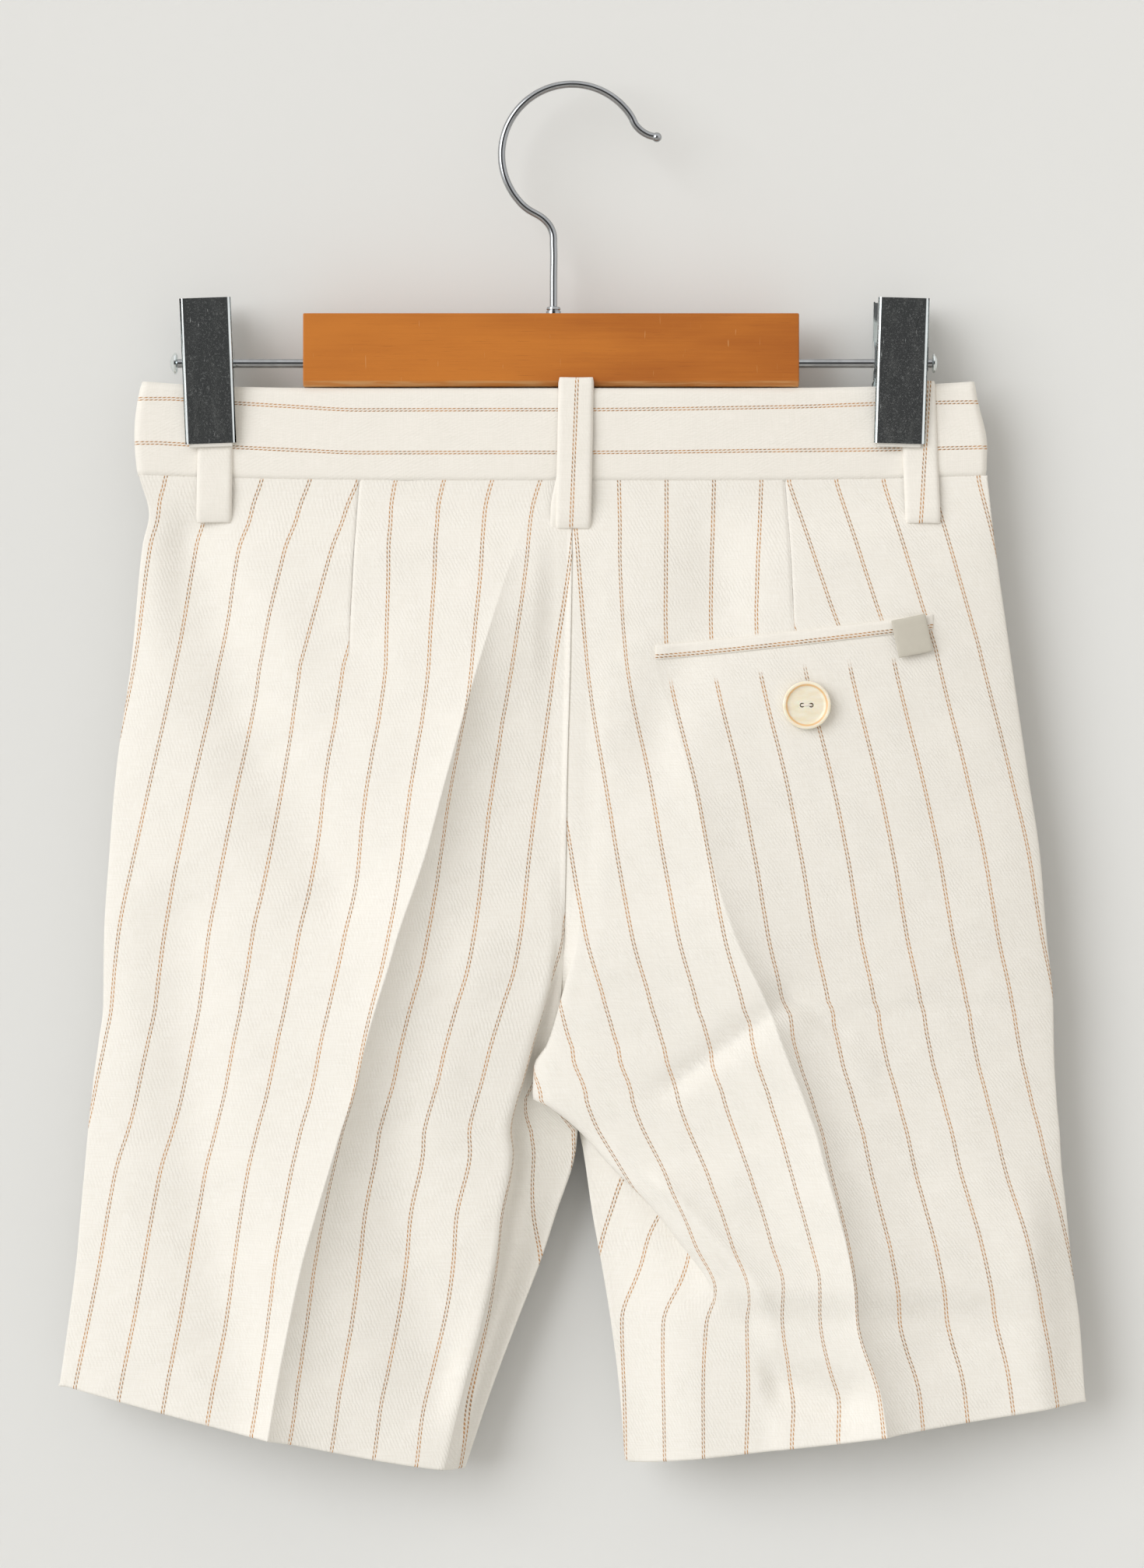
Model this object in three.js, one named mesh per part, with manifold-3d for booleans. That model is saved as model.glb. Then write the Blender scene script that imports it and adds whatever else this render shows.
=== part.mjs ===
// Bermuda shorts held at the waistband by a clip hanger, in millimetres, +Z up.
// The back of the shorts faces -Y and +X is the right of the back view.
// The origin is the inside top of the hanger's hook, where it hangs on a rail.

import * as THREE from 'three';
import { mergeVertices } from 'three/addons/utils/BufferGeometryUtils.js';
import Module from 'manifold-3d';

const wasm = await Module();
wasm.setup();

// Driving sizes of the cloth
const CLOTH_WALL = 1.2;
const BAND_WALL = 2;
const SEAM_GAP = 0.3;
const LOOP_WIDTH = 11;
const LOOP_WALL = 1.2;
const BAND_TOP_Z = -101;
const CROTCH_Z = -349;
const SIDE_Y = 1.35;

// Driving sizes of the hanger
const WIRE_RADIUS = 1.25;
const HOOK_RADIUS = 23.6;
const STEM_X = -6.2;
const BAR = { length: 165.8, depth: 11, height: 24.5, chamfer: 1.8, centreX: -7, topZ: -75.9 };
const ROD_RADIUS = 1.5;
const ROD_Z = -92.3;
const PLATE = { width: 16, wall: 0.9, top: 21.2, bottom: -27.3, innerTop: 10.9, innerBottom: 5.9 };
const CLIPS = [
  { name: 'left', x: -121.6, tilt: -2.0, side: -1, capRadius: 3.6, capLength: 2.4 },
  { name: 'right', x: 110.1, tilt: 1.5, side: 1, capRadius: 3.3, capLength: 1.8 },
];

// Seat seam above the crotch, and the inner leg seams below it, as distances from the centre line
const SEAT_COLUMNS = ['z', 'x'];
const SEAT = [
  [-131, 0], [-153, 0], [-190, -0.5], [-231, -1.6], [-257, -2], [-283, -2.6], [-307, -3.9],
  [-320, -6], [-327, -8], [-338, -9], [-341, -7], [-349, 2.05],
];
const INSEAM_COLUMNS = ['z', 'left', 'right'];
const INSEAM = [
  [-349, -1.9, 2.2],
  [-356, -1.3, 3.7],
  [-377, 5.2, 6.8],
  [-393, 10.4, 9.7],
  [-413, 18.2, 13],
  [-437, 27.3, 16],
  [-462, 35.7, 17.9],
];

// Stations down a back panel. Widths run from the centre line towards the panel's own side edge.
// seamY: depth of the inner edge, fold: where the cloth turns away, over: how far it hangs over
// what is behind, low and high: depth behind and in front of that turn, crease: pressed crease,
// side: side seam.
const STATION_COLUMNS = ['z', 'seamY', 'fold', 'over', 'low', 'high', 'crease', 'side'];
const LEFT_BACK = [
  [-131, -6.2, 4, 0, -6.2, -6.3, 8, 144.8],
  [-143, -8, 4, 0, -8, -8, 14.3, 141.6],
  [-153, -9.5, 4, 0, -9, -9.2, 18.2, 143.8],
  [-190, -13, 5, 0, -12, -12, 30, 147.4],
  [-231, -14.5, 6, 0, -13.5, -13.3, 41.6, 152.9],
  [-257, -14.5, 6.5, 0, -14, -14, 48.6, 155],
  [-283, -13, 6, 0, -14, -15, 57.5, 156.7],
  [-295, -11, 6.6, 0.5, -11.5, -15, 61, 156.9],
  [-307, -9, 9.2, 1, -8, -14.5, 64.8, 157],
  [-320, -4, 12.9, 1.5, -3, -13.5, 68.4, 158.6],
  [-333, 0.5, 16.4, 1.5, 0, -12, 71.5, 160.4],
  [-338, 1, 18, 1.5, 1, -11.7, 73, 160.9],
  [-349, 4.5, 20.3, 1.5, 3, -11, 76.8, 162.1],
  [-356, 4.5, 19.5, 1.2, 3, -10.5, 78.9, 162.7],
  [-377, 4.5, 22.6, 0.5, 0, -9.5, 85.2, 164.6],
  [-393, 4, 25, 0, -2, -9, 89.7, 166],
  [-413, 3, 29.5, 0, -4, -8.5, 94.1, 168.6],
  [-437, 1.5, 36, 0, -5, -8, 98.8, 172],
  [-462, 0.5, 42, 0, -5, -8, 102.8, 175.5],
];
const RIGHT_BACK = [
  [-131, -6, 4, 0, -6.1, -6.3, 16, 139.1],
  [-153, -7.8, 4, 0, -8.7, -9, 16.5, 141.7],
  [-190, -11, 4, 0, -12, -12.3, 26.5, 146.9],
  [-231, -12.5, 3.5, 0, -13.5, -14, 39.5, 152.9],
  [-257, -12.5, 3, 0, -13.5, -14.5, 45.5, 156.8],
  [-283, -11.5, 1.5, 0, -13, -15, 53.8, 158.9],
  [-307, -8.5, -4.2, 1, -8, -13.5, 65, 161.2],
  [-320, -4, -8.3, 2, -3.5, -12.5, 69.8, 161.4],
  [-327, -1, -12.7, 3, 0, -12.5, 72.5, 161.6],
  [-338, 1.5, -13.1, 3, 1.5, -12.5, 77, 162.3],
  [-341, 2.5, -7.5, 3, 2, -12.5, 78, 162.5],
  [-349, 4.5, 2.5, 3.5, 2.5, -12.5, 80.9, 163.3],
  [-361, 3.5, 13.3, 4, -0.5, -13.5, 84, 164],
  [-373, 2.5, 25.5, 4, -2.5, -15, 87.4, 165.3],
  [-387, 1.5, 37.2, 3.5, -4.5, -15.5, 91, 166.7],
  [-400, 0.5, 48.1, 2, -7, -15, 93.5, 168.2],
  [-413, -0.5, 54, 0.5, -8.5, -10.5, 94.9, 170],
  [-437, -1.5, 57, 0, -8.5, -9, 102.7, 171.8],
  [-462, -2, 60, 0, -8, -8.5, 106, 174.5],
];

// Depth of a front panel at its inner edge and at its fullest
const FRONT_COLUMNS = ['z', 'seam', 'seamY', 'high'];
const FRONT = [
  [-131, 0, 6.2, 6.3],
  [-153, 0, 9, 9],
  [-190, 0, 12, 12],
  [-231, 0, 12.5, 13],
  [-283, 0, 12, 14],
  [-307, 0.3, 11.5, 14],
  [-333, 1.2, 9, 13.5],
  [-349, 2.05, 7.2, 13],
  [-393, 2.05, 7.2, 12],
  [-462, 2.05, 7.2, 9.5],
];

// How far the pressed creases stand proud of the cloth beside them
const RIDGE_COLUMNS = ['z', 'left', 'right', 'front'];
const RIDGES = [
  [-131, 0, 0, 0],
  [-153, 1.5, 0, 0],
  [-180, 5, 1, 1],
  [-205, 7.5, 3, 2],
  [-250, 8.5, 5.5, 3.5],
  [-310, 9, 7.5, 5],
  [-400, 9, 8, 6],
  [-462, 8.5, 8, 6],
];
const RIDGE_STEEP = 6;
const RIDGE_GENTLE = 24;

// The largest soft folds, each as [x and z of its start, x and z of its end, half width, depth]
const LEFT_FOLDS = [
  [-129, -146, -103, -218, 12, 2.4],
  [-103, -214, -74, -262, 12, 2],
  [-130, -275, -126, -366, 12, 2],
  [-62, -372, -46, -430, 14, 2],
];
const RIGHT_FOLDS = [
  [30, -335, 70, -306, 5, 1.4],
  [38, -412, 92, -432, 12, 2.4],
  [64, -372, 92, -404, 10, 1.5],
];

// Heights of the rows of a panel, measured at its inner edge
const ROW_HEIGHTS = [
  -132, -142, -153, -171, -190, -210, -231, -257, -283,
  -295, -307, -314, -320, -327, -333, -338, -341, -345, -349,
  -356, -361, -367, -373, -380, -387, -394, -401, -408, -416, -428, -440, -451, -461.8,
];
const FRONT_ROW_HEIGHTS = [
  -132, -142, -153, -171, -190, -231, -283, -320, -341,
  ...ROW_HEIGHTS.filter((z) => z <= CROTCH_Z),
];

// Rows are level between these two heights. Above them they follow the waist seam, and below them
// they fan out to the hem.
const LEVEL_FROM_Z = -190;
const LEVEL_TO_Z = -356;

// Columns across a back panel: the strip behind the turn, the turn itself, and the cloth on
// each side of the crease
const TURN_HALF_WIDTH = 1.5;
const BACK_COLUMNS = [
  ['strip', 0], ['strip', 0.35], ['strip', 0.7],
  ['turn', -1], ['turn', -0.5], ['turn', 0], ['turn', 0.25], ['turn', 0.5], ['turn', 0.75], ['turn', 1],
  ['inner', 0.2], ['inner', 0.45], ['inner', 0.68], ['inner', 0.86], ['inner', 1],
  ['outer', 0.1], ['outer', 0.3], ['outer', 0.5], ['outer', 0.7], ['outer', 0.86], ['outer', 0.95],
  ['outer', 1],
];
const FRONT_FRACTIONS = [0, 0.06, 0.16, 0.3, 0.42, 0.5, 0.58, 0.7, 0.82, 0.92, 1];
const FRONT_CREASE = 0.5;

// How blunt the middle of the turn is, and how far the cloth rolls round it
const TURN_BLUNTNESS = 3;
const TURN_ROLL = 0.7;

// The cloth's outer face in depth: how full it is from the turn to the side seam
const FULLNESS_POWERS = [2.4, 0.75];
const BODY_SWELL = 6;
const CREASE_TO_EDGE = 8;
const CREASE_TO_SIDE = 16;

// Height over which a panel comes out from under the waistband, and how far behind it starts
const UNDER_BAND_HEIGHT = 26;
const UNDER_BAND_DEPTH = 0.4;

const cloth = new THREE.MeshStandardMaterial({ color: '#ece7dc', roughness: 0.9, metalness: 0 });
const clothBand = new THREE.MeshStandardMaterial({ color: '#eeebe3', roughness: 0.9, metalness: 0 });
const tabCloth = new THREE.MeshStandardMaterial({ color: '#d0ccbe', roughness: 0.85, metalness: 0 });
const buttonResin = new THREE.MeshStandardMaterial({ color: '#e8dabc', roughness: 0.35, metalness: 0 });
const wood = new THREE.MeshStandardMaterial({ color: '#b87337', roughness: 0.55, metalness: 0 });
const chrome = new THREE.MeshStandardMaterial({ color: '#c9cbcd', roughness: 0.18, metalness: 1 });
const padRubber = new THREE.MeshStandardMaterial({ color: '#e6e3dc', roughness: 0.8, metalness: 0 });

const shorts = new THREE.Group();

// Interpolation

function mix(a, b, t) {
  return a + (b - a) * t;
}

function clamp01(t) {
  return Math.min(1, Math.max(0, t));
}

function smooth(t) {
  const s = clamp01(t);
  return s * s * (3 - 2 * s);
}

// A smooth curve through one column of a table, with no overshoot between its rows
function track(rows, columns, name) {
  const column = columns.indexOf(name);
  const heights = rows.map((row) => row[0]);
  const values = rows.map((row) => row[column]);
  const slopes = values.slice(1).map((value, i) => (value - values[i]) / (heights[i + 1] - heights[i]));
  const tangents = values.map((_, i) => {
    const before = slopes[Math.max(0, i - 1)];
    const after = slopes[Math.min(slopes.length - 1, i)];
    return before * after <= 0 ? 0 : (2 * before * after) / (before + after);
  });
  return (z) => {
    const inside = Math.min(heights[0], Math.max(heights[heights.length - 1], z));
    let i = 0;
    while (i < slopes.length - 1 && inside < heights[i + 1]) i += 1;
    const span = heights[i + 1] - heights[i];
    const t = (inside - heights[i]) / span;
    const rise = (2 * t ** 3 - 3 * t ** 2 + 1) * values[i] + (3 * t ** 2 - 2 * t ** 3) * values[i + 1];
    return rise + (t ** 3 - 2 * t ** 2 + t) * span * tangents[i] + (t ** 3 - t ** 2) * span * tangents[i + 1];
  };
}

function tracks(rows, columns) {
  return Object.fromEntries(columns.slice(1).map((name) => [name, track(rows, columns, name)]));
}

const seatX = track(SEAT, SEAT_COLUMNS, 'x');
const inseamAt = tracks(INSEAM, INSEAM_COLUMNS);

function backPanel(side, sign, stations, folds) {
  const at = tracks(stations, STATION_COLUMNS);
  at.seam = (z) => (z > CROTCH_Z ? sign * seatX(z) + SEAM_GAP / 2 : inseamAt[side](z));
  return { sign, at, folds, side };
}

const LEFT = backPanel('left', -1, LEFT_BACK, LEFT_FOLDS);
const RIGHT = backPanel('right', 1, RIGHT_BACK, RIGHT_FOLDS);
const frontAt = tracks(FRONT, FRONT_COLUMNS);
const ridgeAt = tracks(RIDGES, RIDGE_COLUMNS);

// Edges that both sides of the shorts share

function waistSeamZ(x) {
  return -132.3 + 1.9 * Math.abs(x / 140) ** 3;
}

function hemZ(panel, m) {
  const left = -461.8 + 27.6 * clamp01((m - 37) / 134.6) ** 1.25;
  const right = -459.4 + 20 * clamp01((m - 24) / 148) ** 1.2;
  return panel.sign < 0 ? left : right;
}

// The waistband's middle surface bows away from the centre plane between the two clips
function bandDepth(x) {
  const reach = x < 0 ? 116 : 105;
  return 1.6 + 3.5 * Math.max(0, 1 - (x / reach) ** 2);
}

// Panels start just behind the band's face and reach their own depth further down
function underBand(x, z, depth, facing) {
  const start = facing * (bandDepth(x) + UNDER_BAND_DEPTH);
  return mix(start, depth, smooth((waistSeamZ(x) - z) / UNDER_BAND_HEIGHT));
}

// Relief on a panel

function pressedRidge(x, z, creaseX, height) {
  const d = x - creaseX;
  const reach = d > 0 ? RIDGE_STEEP : RIDGE_GENTLE;
  return height * Math.exp(-Math.abs(d) / reach);
}

function foldRelief(folds, x, z) {
  return folds.reduce((sum, [fromX, fromZ, toX, toZ, halfWidth, depth]) => {
    const lengthSquared = (toX - fromX) ** 2 + (toZ - fromZ) ** 2;
    const along = ((x - fromX) * (toX - fromX) + (z - fromZ) * (toZ - fromZ)) / lengthSquared;
    const nearest = clamp01(along);
    const distance = Math.hypot(x - mix(fromX, toX, nearest), z - mix(fromZ, toZ, nearest));
    return sum + depth * Math.exp(-((distance / halfWidth) ** 2));
  }, 0);
}

function fullness(t) {
  const [spread, shoulder] = FULLNESS_POWERS;
  return (1 - clamp01(t) ** spread) ** shoulder;
}

// Depth of the outer face of a back panel, for the cloth between its turn and its side seam
function backDepth(panel, m, z) {
  const at = panel.at;
  const start = turnCentre(panel, z) + TURN_HALF_WIDTH;
  const side = at.side(z);
  const t = clamp01((m - start) / (side - start));
  const x = panel.sign * m;
  const swell = BODY_SWELL * t * (1 - t) * smooth((-140 - z) / 60);
  const body = mix(-SIDE_Y, at.high(z), fullness(t)) - swell;
  const ridge = pressedRidge(x, z, panel.sign * at.crease(z), ridgeAt[panel.side](z));
  const fromEdges = smooth((side - m) / CREASE_TO_SIDE) * smooth((m - start) / CREASE_TO_EDGE);
  const general = body - fromEdges * (ridge - foldRelief(panel.folds, x, z));
  return underBand(x, z, general, -1);
}

// The middle of the turn, kept clear of the inner edge
function turnCentre(panel, z) {
  const at = panel.at;
  const clearOfSeam = at.seam(z) + TURN_HALF_WIDTH + 0.8;
  return Math.max(clearOfSeam, at.fold(z) + at.over(z) - TURN_HALF_WIDTH / 2);
}

// A hump that is blunt at its middle, so that the cloth can fold round it
function hump(q) {
  return 1 - Math.abs(2 * Math.abs(q) - 1) ** TURN_BLUNTNESS;
}

// One point of a back panel's outer face
function backPoint(panel, z, [zone, f]) {
  const at = panel.at;
  const centre = turnCentre(panel, z);
  const start = centre - TURN_HALF_WIDTH;
  const end = centre + TURN_HALF_WIDTH;
  if (zone === 'strip') {
    const m = mix(at.seam(z), start, f);
    return { m, y: underBand(panel.sign * m, z, mix(at.seamY(z), at.low(z), smooth(f)), -1) };
  }
  if (zone === 'turn') {
    const lean = f > 0 ? at.fold(z) - centre - TURN_HALF_WIDTH / 2 : TURN_ROLL * at.over(z);
    const m = centre + TURN_HALF_WIDTH * f + lean * hump(f);
    const low = underBand(panel.sign * m, z, at.low(z), -1);
    return { m, y: mix(low, backDepth(panel, end, z), (f + 1) / 2) };
  }
  const m = zone === 'inner' ? mix(end, at.crease(z), f) : mix(at.crease(z), at.side(z), f);
  return { m, y: backDepth(panel, m, z) };
}

// Height of a row in a column that starts at top and ends at hem
function rowZ(height, top, hem) {
  const first = ROW_HEIGHTS[0];
  const last = ROW_HEIGHTS[ROW_HEIGHTS.length - 1];
  if (height < LEVEL_TO_Z) return mix(LEVEL_TO_Z, hem, (height - LEVEL_TO_Z) / (last - LEVEL_TO_Z));
  return height + (top - first) * clamp01((height - LEVEL_FROM_Z) / (first - LEVEL_FROM_Z));
}

function backRows(panel) {
  const places = BACK_COLUMNS.map((column) => ({
    column,
    top: waistSeamZ(panel.sign * backPoint(panel, -131, column).m) - SEAM_GAP,
    hem: hemZ(panel, backPoint(panel, -450, column).m),
  }));
  return ROW_HEIGHTS.map((height) => places.map(({ column, top, hem }) => {
    const z = rowZ(height, top, hem);
    const { m, y } = backPoint(panel, z, column);
    return new THREE.Vector3(panel.sign * m, y, z);
  }));
}

// The front panels are hidden in the back view: one pressed crease each and no other relief

function frontSeam(panel, z) {
  const centreFront = { m: panel.sign * frontAt.seam(z) + SEAM_GAP / 2, y: frontAt.seamY(z) };
  const inseam = { m: panel.at.seam(z), y: panel.at.seamY(z) + 2 * SIDE_Y };
  return z > CROTCH_Z ? centreFront : inseam;
}

function frontDepth(panel, m, z) {
  const seam = frontSeam(panel, z);
  const side = panel.at.side(z);
  const t = clamp01((m - seam.m) / (side - seam.m));
  const lift = smooth((m - seam.m) / 18);
  const body = mix(SIDE_Y, mix(seam.y, frontAt.high(z), lift), fullness(t));
  const creaseM = mix(seam.m, side, FRONT_CREASE);
  const ridge = ridgeAt.front(z) * Math.exp(-Math.abs(m - creaseM) / 14) * smooth((side - m) / 20);
  return underBand(panel.sign * m, z, body + ridge, 1);
}

function frontRows(panel) {
  const places = FRONT_FRACTIONS.map((fraction) => {
    const at = (z) => mix(frontSeam(panel, z).m, panel.at.side(z), fraction);
    return { at, top: waistSeamZ(at(-131)) - SEAM_GAP, hem: hemZ(panel, at(-450)) };
  });
  return FRONT_ROW_HEIGHTS.map((height) => places.map(({ at, top, hem }) => {
    const z = rowZ(height, top, hem);
    const m = at(z);
    return new THREE.Vector3(panel.sign * m, frontDepth(panel, m, z), z);
  }));
}

// Solids from grids and outlines

function geometryOf(points, triangles) {
  const geometry = new THREE.BufferGeometry();
  geometry.setAttribute('position', new THREE.Float32BufferAttribute(points.flatMap((p) => p.toArray()), 3));
  geometry.setIndex(triangles.flat());
  return geometry;
}

function signedVolume(geometry) {
  const position = geometry.getAttribute('position');
  const index = geometry.getIndex();
  const [a, b, c] = [new THREE.Vector3(), new THREE.Vector3(), new THREE.Vector3()];
  let volume = 0;
  for (let i = 0; i < index.count; i += 3) {
    a.fromBufferAttribute(position, index.getX(i));
    b.fromBufferAttribute(position, index.getX(i + 1));
    c.fromBufferAttribute(position, index.getX(i + 2));
    volume += a.dot(b.cross(c)) / 6;
  }
  return volume;
}

function welded(geometry) {
  const bare = geometry.clone();
  bare.deleteAttribute('normal');
  bare.deleteAttribute('uv');
  const merged = mergeVertices(bare, 1e-4);
  if (signedVolume(merged) < 0) {
    const index = merged.getIndex();
    for (let i = 0; i < index.count; i += 3) {
      const second = index.getX(i + 1);
      index.setX(i + 1, index.getX(i + 2));
      index.setX(i + 2, second);
    }
  }
  return merged;
}

function addMesh(name, geometry, material, parent = shorts) {
  const mesh = new THREE.Mesh(welded(geometry), material);
  mesh.name = name;
  parent.add(mesh);
}

// Direction from the outer face to the inner face of a wall. Near the edges it is along Y, so that
// two panels that meet there lie face to face.
const EDGE_REACH = 4;

function inwardNormals(rows, inwardY) {
  const lastRow = rows.length - 1;
  const lastColumn = rows[0].length - 1;
  return rows.map((row, r) => row.map((point, c) => {
    const across = rows[r][Math.min(lastColumn, c + 1)].clone().sub(rows[r][Math.max(0, c - 1)]);
    const down = rows[Math.min(lastRow, r + 1)][c].clone().sub(rows[Math.max(0, r - 1)][c]);
    const normal = across.cross(down).normalize();
    const middle = rows[r][lastColumn].clone().sub(rows[r][0]).cross(down).y;
    if (middle * inwardY < 0) normal.negate();
    const fromEdge = Math.min(point.distanceTo(row[0]), point.distanceTo(row[lastColumn]));
    return new THREE.Vector3(0, inwardY, 0).lerp(normal, smooth(fromEdge / EDGE_REACH)).normalize();
  }));
}

// A closed solid between an outer and an inner grid of points
function wallBetween(outer, inner) {
  const height = outer.length;
  const width = outer[0].length;
  const id = (layer, r, c) => layer * height * width + r * width + c;
  const triangles = [];
  const quad = (a, b, c, d) => triangles.push([a, b, c], [a, c, d]);
  for (let r = 0; r < height - 1; r += 1) {
    for (let c = 0; c < width - 1; c += 1) {
      quad(id(0, r, c), id(0, r, c + 1), id(0, r + 1, c + 1), id(0, r + 1, c));
      quad(id(1, r, c), id(1, r + 1, c), id(1, r + 1, c + 1), id(1, r, c + 1));
    }
    quad(id(0, r, 0), id(0, r + 1, 0), id(1, r + 1, 0), id(1, r, 0));
    quad(id(0, r, width - 1), id(1, r, width - 1), id(1, r + 1, width - 1), id(0, r + 1, width - 1));
  }
  for (let c = 0; c < width - 1; c += 1) {
    quad(id(0, 0, c), id(1, 0, c), id(1, 0, c + 1), id(0, 0, c + 1));
    quad(id(0, height - 1, c), id(0, height - 1, c + 1), id(1, height - 1, c + 1), id(1, height - 1, c));
  }
  return geometryOf([...outer.flat(), ...inner.flat()], triangles);
}

// A wall of even thickness behind a grid of points
function wallFrom(rows, inwardY, wall) {
  const normals = inwardNormals(rows, inwardY);
  const inner = rows.map((row, r) => row.map((point, c) => point.clone().addScaledVector(normals[r][c], wall)));
  return wallBetween(rows, inner);
}

// A wall centred on a path in plan
function wallOnPath(rows, wall) {
  const offsets = rows.map((row) => row.map((point, c) => {
    const before = row[Math.max(0, c - 1)];
    const after = row[Math.min(row.length - 1, c + 1)];
    return new THREE.Vector3(after.y - before.y, before.x - after.x, 0).setLength(wall / 2);
  }));
  const outer = rows.map((row, r) => row.map((point, c) => point.clone().add(offsets[r][c])));
  const inner = rows.map((row, r) => row.map((point, c) => point.clone().sub(offsets[r][c])));
  return wallBetween(outer, inner);
}

// A profile in Y and Z, drawn out along X
function extrudeX(shape, fromX, toX, curveSegments = 6) {
  const geometry = new THREE.ExtrudeGeometry(shape, { depth: toX - fromX, bevelEnabled: false, curveSegments });
  geometry.applyMatrix4(new THREE.Matrix4().set(0, 0, 1, fromX, 1, 0, 0, 0, 0, 1, 0, 0, 0, 0, 0, 1));
  return geometry;
}

function polygon(points) {
  return new THREE.Shape(points.map(([y, z]) => new THREE.Vector2(y, z)));
}

// A turned piece whose axis lies along X
function turnedX(profile, segments) {
  const geometry = new THREE.LatheGeometry(profile.map(([r, x]) => new THREE.Vector2(r, x)), segments);
  return geometry.rotateZ(-Math.PI / 2);
}

function toManifold(geometry) {
  const solid = welded(geometry);
  return new wasm.Manifold(new wasm.Mesh({
    numProp: 3,
    vertProperties: new Float32Array(solid.getAttribute('position').array),
    triVerts: new Uint32Array(solid.getIndex().array),
  }));
}

function fromManifold(manifold) {
  const mesh = manifold.getMesh();
  const geometry = new THREE.BufferGeometry();
  geometry.setAttribute('position', new THREE.Float32BufferAttribute(mesh.vertProperties, 3));
  geometry.setIndex(Array.from(mesh.triVerts));
  return geometry;
}

function joined(...geometries) {
  return fromManifold(geometries.map(toManifold).reduce((sum, next) => sum.add(next)));
}

// Panels

addMesh('back_left', wallFrom(backRows(LEFT), 1, CLOTH_WALL), cloth);
addMesh('back_right', wallFrom(backRows(RIGHT), 1, CLOTH_WALL), cloth);
addMesh('front_left', wallFrom(frontRows(LEFT), -1, CLOTH_WALL), cloth);
addMesh('front_right', wallFrom(frontRows(RIGHT), -1, CLOTH_WALL), cloth);

// Waistband: each half runs from centre back round the side end to centre front

function bandTopZ(x) {
  return BAND_TOP_Z + (x < 0 ? 2.3 * Math.abs(x / 140) ** 5 : 3 * (x / 140) ** 4);
}

function bandEndX(sign, v) {
  return sign < 0 ? mix(143.4, 144.8, v) + 1.6 * Math.sin(Math.PI * v) : mix(135.4, 139.2, smooth(v * 1.4));
}

// Middle line of a half band in plan, as [distance from the centre, y] pairs. Its front end may
// lie beyond the centre, lifted clear of the other half.
const BAND_STEPS = [0, 0.12, 0.25, 0.38, 0.5, 0.62, 0.74, 0.84, 0.92, 1];
const LAP_REACH = 24;
function bandPlan(sign, frontEnd, lift) {
  const end = bandEndX(sign, 1);
  const turnRadius = bandDepth(sign * end);
  const straight = end - turnRadius - BAND_WALL / 2;
  const back = BAND_STEPS.map((t) => mix(SEAM_GAP / 2, straight, t)).map((m) => [m, -bandDepth(sign * m)]);
  const turn = [60, 20, -20, -60].map((degrees) => {
    const angle = THREE.MathUtils.degToRad(degrees);
    return [straight + turnRadius * Math.cos(angle), -turnRadius * Math.sin(angle)];
  });
  const run = BAND_STEPS.slice(0, -1).map((t) => mix(straight, frontEnd + LAP_REACH, t));
  const lap = [1, 0.67, 0.33, 0].map((f) => frontEnd + LAP_REACH * f);
  const front = [...run, ...lap].map((m) => {
    const raised = lift * smooth((frontEnd + 1.5 * LAP_REACH - m) / (LAP_REACH / 2));
    return [m, bandDepth(sign * m) + raised];
  });
  return [...back, ...turn, ...front];
}

function bandRows(sign, plan) {
  const reference = bandEndX(sign, 1);
  return [0, 0.33, 0.67, 1].map((v) => plan.map(([m, y]) => {
    const stretch = m > 0 ? mix(1, bandEndX(sign, v) / reference, smooth(m / reference)) : 1;
    const x = sign * m * stretch;
    return new THREE.Vector3(x, y, mix(bandTopZ(x), waistSeamZ(x), v));
  }));
}

// The left half laps over the right half at centre front
const LAP = { left: -14, right: -10, lift: BAND_WALL + 0.35 };
addMesh('waistband_left', wallOnPath(bandRows(-1, bandPlan(-1, LAP.left, LAP.lift)), BAND_WALL), clothBand);
addMesh('waistband_right', wallOnPath(bandRows(1, bandPlan(1, LAP.right, 0)), BAND_WALL), clothBand);

// Pieces that lie on the cloth

// The outer face of the band or the panel at a place, and the side it faces
function faceAt(x, z, facing) {
  const panel = x < 0 ? LEFT : RIGHT;
  const bandFace = facing * (bandDepth(x) + BAND_WALL / 2);
  if (z > waistSeamZ(x)) return bandFace;
  const m = Math.abs(x);
  const depth = facing < 0
    ? backDepth(panel, Math.max(m, turnCentre(panel, z) + TURN_HALF_WIDTH), z)
    : frontDepth(panel, m, z);
  return facing * Math.max(facing * depth, z > waistSeamZ(x) - 6 ? facing * bandFace : 0);
}

// A belt loop: a strap sewn at both ends that stands off the band between them
const LOOPS = [
  { name: 'belt_loop_back', topX: 1.4, bottomX: 0.4, topZ: -98, bottomZ: -147.6, facing: -1, bulge: 1.2 },
  { name: 'belt_loop_left', topX: -119, bottomX: -118.6, topZ: -99, bottomZ: -145.4, facing: -1, bulge: 0 },
  { name: 'belt_loop_right', topX: 115.6, bottomX: 117.4, topZ: -99, bottomZ: -145.6, facing: -1, bulge: 0 },
  { name: 'belt_loop_front_left', topX: -72, bottomX: -72, topZ: -99.5, bottomZ: -146, facing: 1, bulge: 1.2 },
  { name: 'belt_loop_front_right', topX: 68, bottomX: 68, topZ: -99.5, bottomZ: -146, facing: 1, bulge: 1.2 },
];

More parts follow.
